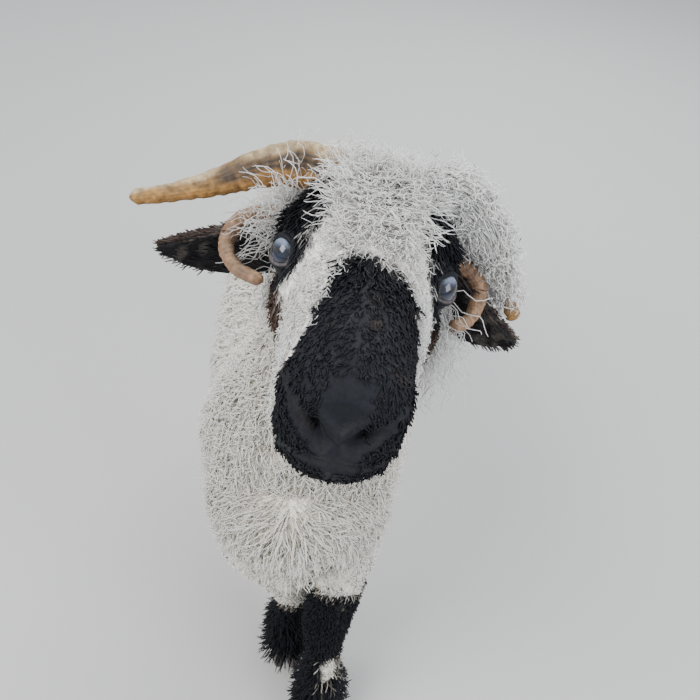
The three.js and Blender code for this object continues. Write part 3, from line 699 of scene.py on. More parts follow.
def strand_mesh(name, lines, width, colour, uv, material, slot):
    """One coat piece: a closed three-sided tapered strand round each line."""
    n, rings = len(lines), lines.shape[1] - 1
    t = np.linspace(0, 1, rings + 1)
    along = unit(lines[:, 1:] - lines[:, :-1])
    side = unit(np.cross(along, np.array([0.31, 0.52, 0.79])))
    other = np.cross(along, side)
    thick = (width[:, None] * (1 - 0.5 * t[None, :-1] ** 1.6))[:, :, None, None]
    corners = 2 * np.pi * np.arange(3) / 3
    round_side = np.cos(corners)[None, None, :, None] * side[:, :, None, :]
    round_other = np.sin(corners)[None, None, :, None] * other[:, :, None, :]
    body = lines[:, :-1, None, :] + thick * (round_side + round_other)
    points = np.concatenate([body.reshape(n, rings * 3, 3), lines[:, -1:, :]], axis=1)
    points[:, :, 2] = np.maximum(points[:, :, 2], 0.5)
    per = rings * 3 + 1
    loops, sizes = [], []
    for r in range(rings - 1):
        for k in range(3):
            a, b = 3 * r + k, 3 * r + (k + 1) % 3
            loops += [a, b, b + 3, a + 3]
            sizes.append(4)
    top = 3 * (rings - 1)
    for k in range(3):
        loops += [top + k, top + (k + 1) % 3, per - 1]
        sizes.append(3)
    loops += [0, 2, 1]
    sizes.append(3)
    all_loops = (np.array(loops)[None, :] + per * np.arange(n)[:, None]).ravel()
    starts = np.concatenate([[0], np.cumsum(np.tile(sizes, n))[:-1]])
    mesh = bpy.data.meshes.new(name)
    mesh.vertices.add(n * per)
    mesh.loops.add(len(all_loops))
    mesh.polygons.add(len(starts))
    mesh.vertices.foreach_set("co", to_world(points.reshape(-1, 3)).ravel().astype(np.float32))
    mesh.loops.foreach_set("vertex_index", all_loops.astype(np.int32))
    mesh.polygons.foreach_set("loop_start", starts.astype(np.int32))
    mesh.update(calc_edges=True)
    mesh.shade_smooth()
    # Painted shade: each strand is darker at its root, where the coat's depth shades it, and a little lighter
    # towards its tip.
    painted_root_shade = 0.86 + 0.2 * np.concatenate([np.repeat(t[:-1], 3), [1.0]]) ** 0.8
    paint(mesh, np.clip((colour[:, None, :] * painted_root_shade[None, :, None]).reshape(-1, 3), 0, 1))
    across = np.concatenate([np.tile([0.0, 0.5, 1.0], rings), [0.5]])
    upwards = np.concatenate([np.repeat(t[:-1], 3), [1.0]])
    local = PATCH * (np.column_stack([across, upwards]) - 0.5)
    layer = mesh.uv_layers.new(name="OFBake")
    spots = (uv[:, None, :] + local).reshape(-1, 2)[all_loops]
    layer.data.foreach_set("uv", spots.ravel().astype(np.float32))
    mesh.materials.append(material)
    piece = bpy.data.objects.new(name, mesh)
    bpy.context.collection.objects.link(piece)
    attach(piece, "root")
    return piece


def coat_pieces(name, tufts, rings, material, slot):
    """Coat pieces under the limit of triangles, cut where the tufts lie along the body."""
    lines = curve_tufts(tufts, rings)
    most = MOST_TRIANGLES // triangle_count(rings)
    order = np.argsort(tufts["root"][:, 1] + 0.4 * tufts["root"][:, 2], kind="stable")
    parts = max(1, math.ceil(len(order) / most))
    for number, chosen in enumerate(np.array_split(order, parts)):
        label = name if parts == 1 else f"{name}_{number + 1}"
        rows = (tufts[key][chosen] for key in ("width", "colour", "uv"))
        strand_mesh(label, lines[chosen], *rows, material, slot)


def scatter(form, spacing, rng, u_range=(0.0, 1.0)):
    """Places spread evenly over a form's surface: u, angle, place and normal of each."""
    fine_u = np.linspace(*u_range, 90)
    fine_a = 2 * np.pi * np.arange(72) / 72
    u, a = np.meshgrid(fine_u, fine_a, indexing="ij")
    p = form.point(u.ravel(), a.ravel()).reshape(90, 72, 3)
    du = np.linalg.norm(np.diff(p, axis=0), axis=2)
    da = np.linalg.norm(p - np.roll(p, -1, axis=1), axis=2)
    area = (du * da[:-1]).ravel()
    count = int(5 * area.sum() / spacing**2)
    chosen = rng.choice(len(area), size=count, p=area / area.sum())
    row, col = np.divmod(chosen, 72)
    step = (u_range[1] - u_range[0]) / 89
    u = fine_u[row] + step * rng.random(count)
    angle = fine_a[col] + 2 * np.pi / 72 * rng.random(count)
    place = form.point(u, angle)
    cell = np.floor(place / (spacing * 0.92) + rng.random(3)).astype(np.int64)
    keys = cell[:, 0] * 73856093 ^ cell[:, 1] * 19349663 ^ cell[:, 2] * 83492791
    first = np.unique(keys, return_index=True)[1]
    u, angle, place = u[first], angle[first], place[first]
    return u, angle, place, form.normal(u, angle)


def inside_any(points, trees, margin):
    """Which points lie deeper than margin inside one of the closed surfaces."""
    buried = np.zeros(len(points), bool)
    for tree in trees:
        for i, p in enumerate(points):
            if buried[i]:
                continue
            place, normal, _, distance = tree.find_nearest(Vector(p), 60.0)
            if place is not None and distance > margin and (Vector(p) - place).dot(normal) < 0:
                buried[i] = True
    return buried


def tree_of(form, rings=40, sides=28, in_head=False):
    """A search tree of a form's surface."""
    points, faces = form.grid(rings, sides)
    if in_head:
        points = from_head(points)
    volume = 0.0
    for f in faces:
        a, b, c = points[f[0]], points[f[1]], points[f[2]]
        volume += np.dot(a, np.cross(b, c))
    if volume < 0:
        faces = [tuple(reversed(f)) for f in faces]
    return BVHTree.FromPolygons([tuple(p) for p in points], faces)


def gathered(root, normal, length, pitch, share, rng):
    """Moves of the tips towards the middle of each small staple of wool."""
    tips = root + normal * length[:, None]
    cell = np.floor(tips / pitch + rng.random(3)).astype(np.int64)
    keys = cell[:, 0] * 73856093 ^ cell[:, 1] * 19349663 ^ cell[:, 2] * 83492791
    _, group = np.unique(keys, return_inverse=True)
    count = np.bincount(group)
    middle = np.column_stack([np.bincount(group, tips[:, k]) / count for k in range(3)])
    return (middle[group] - tips) * share


def lie_along(normal, way, rng, scatter_degrees):
    """The surface direction nearest to way, turned at random about the normal."""
    flat = unit(way - normal * np.sum(way * normal, axis=1, keepdims=True) + 1e-6)
    turn = np.radians(scatter_degrees) * rng.normal(size=len(normal))[:, None]
    return unit(flat * np.cos(turn) + np.cross(normal, flat) * np.sin(turn))


def chosen_rows(keep, *rows):
    """The chosen rows of each array."""
    return tuple(values[keep] for values in rows)


def make_tufts(root, normal, lie, length, width, colour, uv, rng, **options):
    """Rows for coat_pieces, with each size varied a little."""
    n = len(root)

    def vary(share):
        return 1 + share * rng.uniform(-1, 1, n)

    staple = options.get("staple", 14.0)
    long = length * vary(0.25)
    tint = colour * (1 + options.get("tint", 0.08) * rng.uniform(-1, 1, n))[:, None]
    return {
        "root": root,
        "normal": normal,
        "lie": lie,
        "length": long,
        "width": width * vary(0.25),
        "stand": np.clip(options.get("stand", 0.7) * vary(0.25), 0.05, 1),
        "curl": options.get("curl", 1.5) * vary(0.4) * np.ones(n),
        "turns": options.get("turns", 1.0) * vary(0.35) * np.ones(n),
        "phase": rng.uniform(0, 2 * np.pi, n),
        "sink": options.get("sink", 2.5) * np.ones(n),
        "gather": gathered(root, normal, long, staple, options.get("gather", 0.3), rng),
        "colour": tint,
        "uv": uv,
    }


def head_tufts(place, normal, lie, *rows, **options):
    """Tufts whose places and directions are given in the head's own axes."""
    return make_tufts(from_head(place), normal @ HEAD_AXES.T, lie @ HEAD_AXES.T, *rows, **options)


def atlas(cell, u, angle):
    """The place of a form's surface in its own rectangle of the unwrap."""
    columns = 4
    row, column = divmod(cell, columns)
    x = (column + 0.04 + 0.92 * (angle / (2 * np.pi)) % 1.0) / columns
    y = (row + 0.04 + 0.92 * np.clip(u, 0, 1)) / columns
    return np.column_stack([np.clip(x, 0.004, 0.996), np.clip(y, 0.004, 0.996)])


def settings():
    """The sizes and colours that the panel shows."""
    scene = bpy.context.scene
    return scene.sheep_sizes, scene.sheep_colours


def coat_length(p, sizes):
    """Length of the wool over the body, in millimetres, shorter down the legs."""
    full = sizes.fleece_length * 1000
    by_height = np.interp(p[:, 2], [120, 190, 250, 320, 400], [0.3, 0.32, 0.36, 0.55, 0.95])
    on_leg = full * by_height
    neck = full * np.interp(p[:, 2], [480, 640, 760], [1.0, 0.82, 0.72])
    return np.where(p[:, 2] < 400, on_leg, np.where(p[:, 1] < 110, neck, full))


LIP_COLOUR = (0.02, 0.019, 0.021)
LID_RIM_COLOUR = (0.14, 0.12, 0.12)
FACE_MIDDLE = np.array([0, 0, -20.0])


class SHEEP_OT_skin(bpy.types.Operator):
    """Build the one skin of head, neck, trunk, legs and tail, with lids and lips"""

    bl_idname = "sheep.skin"
    bl_label = "Skin"

    def execute(self, context):
        _, colours = settings()
        points, faces = [], []
        for form in BODY_FORMS:
            p, f = form.grid(60, 40)
            base = len(points)
            points += [tuple(x) for x in to_world(p)]
            faces += [tuple(k + base for k in face) for face in f]
        skin = mesh_object("skin", points, faces)
        remesh = skin.modifiers.new("Join", "REMESH")
        remesh.mode = "VOXEL"
        remesh.voxel_size = 0.006
        remesh.use_smooth_shade = True
        soften = skin.modifiers.new("Soften", "SMOOTH")
        soften.factor = 0.5
        soften.iterations = 8
        apply_modifiers(skin)
        place = (vertices_of(skin.data) - SHIFT) * 1000
        marks, _ = body_markings(place, colours)
        paint(skin.data, marks)
        parts = [self.face_object(colours)]
        for side in SIDES:
            parts.append(self.lid_object(side, colours))
        with bpy.context.temp_override(active_object=skin, selected_editable_objects=[skin, *parts]):
            bpy.ops.object.join()
        skin.data.materials.append(skin_material())
        skin.data.shade_smooth()
        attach(skin, "root")
        limb_parts = ("forearm", "thigh", "hind_shank", "fore_sock", "hind_sock")
        limbs = [f"{part}_{name}" for name in SIDES.values() for part in limb_parts]
        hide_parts("head", "neck", "torso", "tail", *limbs)
        return {"FINISHED"}

    def face_object(self, colours):
        """The head's own fine surface."""
        points, faces = HEAD.grid(190, 150)
        face = mesh_object("face", to_world(from_head(points)), faces)
        marks, _ = head_markings(points, colours)
        m = both_sides(points)
        lip = np.exp(-((line_distance(m, MOUTH) / 3.0) ** 2))
        lip = lip + np.exp(-((line_distance(m, NOSTRIL) / 4.5) ** 2))
        marks = blend_colours(marks, LIP_COLOUR, lip)
        paint(face.data, marks)
        return face

    def lid_object(self, side, colours):
        """Upper and lower lid: a shell over the eye, open to its gaze, that runs out into the skin."""
        corner, above, gaze = eye_axes(side)
        centre = EYE * np.array([side, 1, 1])
        steps, rows = 84, 22
        a = 2 * np.pi * np.arange(steps) / steps
        skin = tree_of(HEAD, 110, 90)
        rim = np.where(np.sin(a) > 0, 8.6, 7.6)
        opening = 1 / np.sqrt((np.cos(a) / 12.2) ** 2 + (np.sin(a) / rim) ** 2)
        first = np.arcsin(opening / EYE_RADIUS * 0.985)
        around = np.cos(a)[:, None] * corner + np.sin(a)[:, None] * above
        grid = []
        shares = np.linspace(0, 1, rows)
        for share in shares:
            polar = first + (2.05 - first) * share
            lift = np.interp(share, [0, 0.03, 0.08, 1], [-0.7, 1.2, 2.4, 2.8])
            fold = np.exp(-(((share - 0.27) / 0.05) ** 2)) * np.where(np.sin(a) > 0, 1.5, 0.8)
            radius = EYE_RADIUS + lift - fold
            shell = gaze * (radius * np.cos(polar))[:, None] + around * (radius * np.sin(polar))[:, None]
            reach = opening + 22 * share
            flat = centre + around * reach[:, None] + gaze * 2
            onto = np.array([tuple(skin.find_nearest(Vector(q))[0]) for q in flat])
            inward = np.interp(share, [0, 0.8, 1], [0, 0, 1.6])
            onto = onto - inward * unit(onto - FACE_MIDDLE)
            weight = ease(np.full(steps, share), 0.16, 0.92)[:, None]
            grid.append((centre + shell) * (1 - weight) + onto * weight)
        grid = np.concatenate(grid)
        faces = bands(rows, steps)
        if side == LEFT:
            faces = [tuple(reversed(face)) for face in faces]
        lid = mesh_object("lid", to_world(from_head(grid)), faces)
        marks = np.tile(np.array(colours.black), (len(grid), 1))
        low = np.tile(np.clip(-np.sin(a) * 1.6, 0, 1), rows)
        marks = blend_colours(marks, LID_RIM_COLOUR, np.repeat(shares < 0.05, steps) * low * 0.7)
        outer = np.repeat(ease(shares, 0.5, 1.0), steps)
        spots, _ = head_markings(grid, colours)
        paint(lid.data, marks * (1 - outer[:, None]) + spots * outer[:, None])
        return lid


def eye_axes(side):
    """The eye's axes in the head: from corner to corner, up across the lids, and along the gaze."""
    gaze = unit(GAZE * np.array([side, 1, 1]))
    corner = unit(np.cross([0.0, 0.0, 1.0], gaze))
    return corner, np.cross(gaze, corner), gaze


PUPIL_COLOUR = (0.002, 0.003, 0.005)
WHITE_OF_EYE = (0.16, 0.16, 0.18)
# Colour of the painted sky reflection on the upper part of the iris.
SKY_REFLECTION_COLOUR = (0.22, 0.27, 0.38)


class SHEEP_OT_eyes(bpy.types.Operator):
    """Make the two eyes, each a wet dark ball with a long pupil"""

    bl_idname = "sheep.eyes"
    bl_label = "Eyes"

    def execute(self, context):
        _, colours = settings()
        material = eye_material()
        for side, name in SIDES.items():
            steps, rows = 64, 48
            a, b = np.meshgrid(2 * np.pi * np.arange(steps) / steps, np.linspace(0, np.pi, rows))
            a, b = a.ravel(), b.ravel()
            corner, above, gaze = eye_axes(side)
            out, along, up = np.cos(b), np.sin(b) * np.cos(a), np.sin(b) * np.sin(a)
            ball = out[:, None] * gaze + along[:, None] * corner + up[:, None] * above
            bulge = EYE_RADIUS - 0.2 + 1.0 * ease(out, 0.66, 0.95)
            points = ball * bulge[:, None] + EYE * np.array([side, 1, 1])
            eye = mesh_object(f"eyeball_{name}", to_world(from_head(points)), bands(rows, steps))
            outward_faces(eye.data)
            across = np.hypot(along, up)
            marks = np.tile(np.array(colours.iris), (len(ball), 1))
            marks = blend_colours(marks, PUPIL_COLOUR, ease(across, 0.52, 0.62))
            marks = blend_colours(marks, WHITE_OF_EYE, ease(across, 0.66, 0.76))
            # Painted reflection: a pale blue band over the upper part of the iris.
            painted_reflection = ease(up, 0.2, 0.5) * ease(0.72 - across, 0, 0.15)
            marks = blend_colours(marks, SKY_REFLECTION_COLOUR, painted_reflection * 0.8)
            slit = np.hypot(along / 0.36, up / 0.17)
            marks = blend_colours(marks, PUPIL_COLOUR, ease(1.15 - slit, 0, 0.3))
            paint(eye.data, marks)
            eye.data.materials.append(material)
            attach(eye, "root")
            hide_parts(f"eye_{name}")
        return {"FINISHED"}


UPPER_PATHS = {
    RIGHT: [(-30, 44, 50), (-58, 50, 53), (-85, 52, 45), (-117, 54, 27), (-150, 54, 11), (-183, 50, 0)],
    LEFT: [(30, 44, 50), (54, 50, 50), (78, 52, 36), (98, 52, 12), (113, 50, -10), (126, 45, -26)],
}
SIDE_PATHS = {
    RIGHT: [(-44, 40, 14), (-72, 44, 14), (-96, 40, 5), (-102, 26, -11), (-90, 10, -21), (-68, -3, -22)],
    LEFT: [(44, 40, 14), (70, 46, 10), (88, 42, -2), (90, 30, -18), (83, 18, -27), (71, 8, -29)],
}


UPPER_HORN = {"base": 19, "tip": 5.6, "broad": 0.66}
SIDE_HORN = {"base": 8, "tip": 4.6, "broad": 0.95}
UPPER_PITCH, SIDE_PITCH = 7.5, 4.6  # from one growth ring to the next
# Colours of the painted highlight on the horns' tops and the painted shade on their undersides
PAINTED_HIGHLIGHT_COLOUR = (0.58, 0.47, 0.29)
UNDERSIDE_SHADE_COLOUR = (0.36, 0.16, 0.04)
SIDE_HORN_COLOUR = (0.33, 0.20, 0.135)
STAIN_COLOUR = (0.16, 0.09, 0.04)


def horn_form(path, up, base, tip, broad):
    """A horn's plain form, from its root's radius to its tip's."""
    stations = []
    for i, at in enumerate(path):
        r = base + (tip - base) * float(ease(i / (len(path) - 1), 0, 1))
        stations.append((*at, r * broad, r, r, 2.2))
    return Form(stations, unit(np.array(up, float)))


def upper_horn_up(side):
    """The way that the upper horn's top faces."""
    return side * 0.3, 0.15, 1


class SHEEP_OT_horns(bpy.types.Operator):
    """Make the upper and the lower pair of horns with their growth rings"""

    bl_idname = "sheep.horns"
    bl_label = "Horns"

    def execute(self, context):
        _, colours = settings()
        material = horn_material(colours)
        for side, name in SIDES.items():
            upper = horn_form(UPPER_PATHS[side], upper_horn_up(side), **UPPER_HORN)
            self.horn(f"upper_horn_{name}", upper, UPPER_HORN, UPPER_PITCH, material, f"horn_{name}")
            lower = horn_form(SIDE_PATHS[side], (side * 0.5, 1, 0.3), **SIDE_HORN)
            self.horn(f"lower_horn_{name}", lower, SIDE_HORN, SIDE_PITCH, material, f"side_horn_{name}")
        return {"FINISHED"}

    def horn(self, label, form, size, pitch, material, node):
        """One horn: a tapered length with a blunt tip and rings that fade towards it."""
        _, colours = settings()
        base = size["base"]
        upper = size is UPPER_HORN
        rings, around = 150, 56
        turns = 2 * np.pi * np.arange(around) / around
        u, a = np.meshgrid(np.linspace(0, 1, rings + 1), turns, indexing="ij")
        u, a = u.ravel(), a.ravel()
        walked = u * np.linalg.norm(np.diff(form.centres, axis=0), axis=1).sum()
        bare = form.point(u, a)
        wave = np.sin(2 * np.pi * (walked + 2.6 * wander(bare, 30, 21)) / pitch)
        wave = wave * (0.55 + 0.45 * wander(bare, 44, 25))
        ridges = base * 0.042 * np.clip(wave, -0.5, 1) * (1 - 0.7 * u) + 0.4 * wander(bare, 9, 22)
        fibres = np.sin(a * 17 + 2 * wander(bare, 60, 26)) * 0.16
        ridges = ridges + fibres
        blunt = np.sqrt(np.clip((1 - u) / 0.035, 0, 1))
        centre = spline(form.centres, u)
        outward = bare - centre
        points = centre + outward * blunt[:, None] + unit(outward + 1e-9) * (ridges * blunt)[:, None]
        faces = bands(rings + 1, around)
        faces.append(tuple(range(around - 1, -1, -1)))
        faces.append(tuple(rings * around + j for j in range(around)))
        horn = mesh_object(label, to_world(from_head(points)), faces)
        outward_faces(horn.data)
        out = unit(outward + 1e-9)
        # Painted light: the upward-facing top of each horn is painted paler as a highlight, and its underside
        # darker as shade, broken by the streaks.
        lit = ease(out[:, 2] + 0.12 * wander(points, 30, 23), 0.62, 0.92)
        below = ease(-out[:, 2] + 0.12 * wander(points, 24, 27), 0.0, 0.35)
        grey = ease(0.72 - u + 0.1 * wander(points, 26, 24), 0, 0.2) * (1 - lit) * (1 - below)
        streaks = 0.5 + 0.5 * np.sin(a * 23 + 3 * wander(points, 50, 28))
        marks = np.tile(np.array(colours.horn), (len(points), 1))
        marks = blend_colours(marks, PAINTED_HIGHLIGHT_COLOUR, 0.75 * lit)
        marks = blend_colours(marks, UNDERSIDE_SHADE_COLOUR, 0.7 * below * streaks)
        greyness = 1.0 if upper else 0.2
        marks = blend_colours(marks, colours.horn_dark, grey * (0.95 - 0.3 * streaks) * greyness)
        if not upper:
            marks = blend_colours(marks, SIDE_HORN_COLOUR, np.full(len(marks), 0.75))
        marks = blend_colours(marks, STAIN_COLOUR, 0.4 * ease(wander(points, 11, 29), 0.5, 1.0))
        # Painted shade: darker in the grooves between the growth rings, where the surface sinks.
        marks = marks * (0.86 + 0.14 * np.clip(wave, -1, 1))[:, None]
        paint(horn.data, np.clip(marks, 0, 1))
        horn.data.materials.append(material)
        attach(horn, "root")
        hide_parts(node)


def outward_faces(mesh):
    """Turns all faces of a closed mesh outwards."""
    work = bmesh.new()
    work.from_mesh(mesh)
    bmesh.ops.recalc_face_normals(work, faces=work.faces)
    work.to_mesh(mesh)
    work.free()


def ear_point(side, u, v, back):
    """A place on an ear: u along it, v across it, back 1 or -1 for its two faces."""
    droop = 12 if side == LEFT else 0
    reach = 0.84 if side == LEFT else 1.0
    line = np.array(
        [
            (side * 50, 58, -8),
            (side * 80 * reach, 60, -14 - 0.4 * droop),
            (side * 110 * reach, 56, -22 - 0.8 * droop),
            (side * 134 * reach, 50, -28 - droop),
            (side * 153 * reach, 45, -31 - droop),
        ]
    )
    centre = spline(line, u)
    along = unit(spline(line, np.minimum(u + 1e-3, 1)) - spline(line, np.maximum(u - 1e-3, 0)))
    front = np.array([side * 0.1, -0.62, -0.55])
    front = unit(front - along * (along @ front)[:, None])
    edge = np.cross(along, front)
    half = 29 * np.sin(np.pi * (0.14 + 0.84 * u) ** 0.75) ** 0.8 + 1.6
    depth = 0.62 * half
    rim = np.sqrt(np.maximum(0, 1 - v**2))
    thick = back * 2.5 * (0.35 + 0.65 * rim)
    crease = 1.4 * np.exp(-(((v - 0.25) / 0.12) ** 2)) * np.sin(np.pi * u)
    outward = depth * v**2 - depth * 0.5 - thick - crease
    return centre + edge * (half * v)[:, None] + front * outward[:, None], -back[:, None] * front


class SHEEP_OT_ears(bpy.types.Operator):
    """Make the two cupped ears with their short dark hair"""

    bl_idname = "sheep.ears"
    bl_label = "Ears"

    def execute(self, context):
        sizes, colours = settings()
        rng = np.random.default_rng(sizes.seed + 5)
        material = skin_material()
        hair = coat_material("ear_hair", 0.7, 0.05, 0.25, 0.3)
        rings, across = 60, 40
        for side, name in SIDES.items():
            u = np.repeat(np.linspace(0, 1, rings + 1), 2 * (across + 1))
            v_row = 2 * np.arange(across + 1) / across - 1
            v = np.tile(np.concatenate([v_row, -v_row]), rings + 1)
            back = np.tile(np.concatenate([np.ones(across + 1), -np.ones(across + 1)]), rings + 1)
            points, _ = ear_point(side, u, v, back)
            row = 2 * (across + 1)
            faces = bands(rings + 1, row)
            for base in (0, rings * row):
                for j in range(across):
                    faces.append((base + j, base + j + 1, base + row - 2 - j, base + row - 1 - j))
            ear = mesh_object(f"ear_leaf_{name}", to_world(from_head(points)), faces)
            outward_faces(ear.data)
            marks = self.marks(points, back, colours)
            paint(ear.data, marks * 0.8)
            ear.data.materials.append(material)
            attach(ear, "root")
            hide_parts(f"ear_{name}")
            n = 2300
            u, v = rng.random(n) ** 0.9, rng.uniform(-0.97, 0.97, n)
            back = np.where(rng.random(n) < 0.62, 1.0, -1.0)
            place, normal = ear_point(side, u, v, back)
            marks = self.marks(place, back, colours)
            way = np.tile(np.array([side * 1.0, -0.1, -0.25]), (n, 1))
            root, out = from_head(place), normal @ HEAD_AXES.T
            lie = lie_along(out, way @ HEAD_AXES.T, rng, 22)
            edge = ease(np.abs(v), 0.75, 1.0)
            uv = atlas(14 if side == LEFT else 15, u, np.pi * (v + 1) * 0.5 + np.pi * (back < 0))
            rows = make_tufts(
                root, out, lie, (7 + 4 * edge) * (1 - 0.45 * u), 0.6 * np.ones(n), marks, uv, rng,
                stand=0.22, curl=0.4, turns=0.6, sink=0.8, gather=0.1, staple=7.0, tint=0.25,
            )
            coat_pieces(f"ear_hair_{name}", rows, 3, hair, "ear_hair")
        return {"FINISHED"}

    def marks(self, points, back, colours):
        """Brown-grey outside and at the tip, black in the cup: the ear's own dark colour, made blacker there
        by painted shade.
        """
        made = np.tile(np.array(colours.brown), (len(points), 1))
        # Painted shade: the cupped inner face is painted much blacker than the outer face.
        made = blend_colours(made, colours.black, np.where(back < 0, 0.9, 0.35))
        return blend_colours(made, (0.26, 0.23, 0.2), 0.35 * ease(wander(points, 16, 31), 0.1, 0.9))


class SHEEP_OT_hooves(bpy.types.Operator):
    """Make the eight claws with rounded walls on flat soles"""

    bl_idname = "sheep.hooves"
    bl_label = "Hooves"

    def execute(self, context):
        _, colours = settings()
        material = hoof_material(colours)
        feet = [("fore", FORE), ("hind", HIND)]
        for pair, places in feet:
            for side, (x, y) in places.items():
                for half, word in ((LEFT, "out"), (RIGHT, "in")):
                    node = f"{pair}_claw_{SIDES[side]}_{word}"
                    self.claw(f"hoof_{node}", x, y, half, node, material)
        return {"FINISHED"}

    def claw(self, label, x, y, half, node, material):
        """One claw: an outline lofted from sole to coronet with growth rings."""
        steps, rows = 48, 16
        a = 2 * np.pi * np.arange(steps) / steps
        c, s = np.cos(a), np.sin(a)
        outline_x = 12.7 + 11.3 * np.sign(c) * np.abs(c) ** 0.8
        outline_x = outline_x * np.where((s < 0) & (c > 0), 1 + 0.18 * s, 1)
        outline_y = -5.0 - 8 + np.where(s > 0, 27.5, 27.8) * np.sign(s) * np.abs(s) ** 0.9
        points = []
        for r in range(rows + 1):
            rise = r / rows
            ring = 1 + 0.012 * math.sin(rise * 40)
            px = outline_x * (1 - 0.16 * rise) * ring + 0.2 * rise
            py = (outline_y + 8) * (1 - 0.3 * rise) * ring - 8 + 2 * rise
            points.append(np.column_stack([x + half * px, y + py, np.full(steps, HOOF_HEIGHT * rise)]))
        points = np.concatenate(points)
        faces = bands(rows + 1, steps)
        faces.append(tuple(range(steps)))
        faces.append(tuple(rows * steps + k for k in range(steps)))
        claw = mesh_object(label, to_world(points), faces)
        outward_faces(claw.data)
        bevel = claw.modifiers.new("Worn edge", "BEVEL")
        bevel.width = 0.0012
        bevel.segments = 2
        bevel.limit_method = "ANGLE"
        apply_modifiers(claw)
        claw.data.shade_smooth()
        claw.data.materials.append(material)
        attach(claw, "root")
        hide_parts(node)


class SHEEP_OT_fleece(bpy.types.Operator):
    """Grow the crimped wool of neck, trunk, tail and upper legs"""

    bl_idname = "sheep.fleece"
    bl_label = "Fleece"

    def execute(self, context):
        sizes, colours = settings()
        material = coat_material("wool", 0.9, 0.35, 0.16, 0.35)
        trees = [tree_of(form) for form in BODY_FORMS]
        head_tree = tree_of(HEAD, in_head=True)
        for number, form in enumerate(BODY_FORMS):
            rng = np.random.default_rng(sizes.seed + 20 + number)
            spacing = 1000 * (sizes.leg_spacing if number >= FIRST_LEG else sizes.neck_spacing)
            u, angle, place, normal = scatter(form, spacing, rng)
            marks, black = body_markings(place, colours)
            front = ease(150 - place[:, 1], 0, 60) if form is TRUNK else np.ones(len(place))
            thin = (spacing / (1000 * sizes.fleece_spacing)) ** 2
            share = thin + (1 - thin) * front
            keep = (black < 0.4) & (place[:, 2] > HOOF_HEIGHT) & (rng.random(len(place)) < share)
            others = [tree for k, tree in enumerate(trees) if k != number] + [head_tree]
            keep[keep] = ~inside_any(place[keep], others, 8.0)
            u, angle, place, normal, marks, share = chosen_rows(
                keep, u, angle, place, normal, marks, share
            )
            length = coat_length(place, sizes)
            width = spacing * 0.21 / share**0.4
            way = np.tile(np.array([0.0, 0.35, -1.0]), (len(place), 1))
            lie = lie_along(normal, way, rng, 32)
            seen = form in (TRUNK, NECK)
            turns = 1.3 if seen else 0.9
            rows = make_tufts(
                place, normal, lie, length, width, marks, atlas(number, u, angle), rng,
                stand=0.22, curl=width * 1.9, turns=turns, sink=1.5, gather=0.4, staple=10.0,
            )
            dense = share > 0.9
            for word, chosen, rings in (("fine", dense, 4 if seen else 3), ("broad", ~dense, 3)):
                if chosen.any():
                    part = {key: values[chosen] for key, values in rows.items()}
                    coat_pieces(f"fleece_{FORM_NAMES[number]}_{word}", part, rings, material, "fleece")
        return {"FINISHED"}


WISPS = [  # place on the head, reach round it, way they lie, length, share of the places used
    ((0, 35, 60), (62, 60, 40), (0.1, -0.3, 0.9), 30, 0.12),
    ((-56, 58, 14), (24, 22, 20), (-1.0, -0.5, 0.3), 44, 0.95),
    ((-56, 40, -34), (26, 28, 18), (-0.8, 0.1, -0.7), 30, 0.45),
    ((56, 34, -36), (24, 34, 30), (0.7, -0.2, -1.0), 46, 0.50),
]


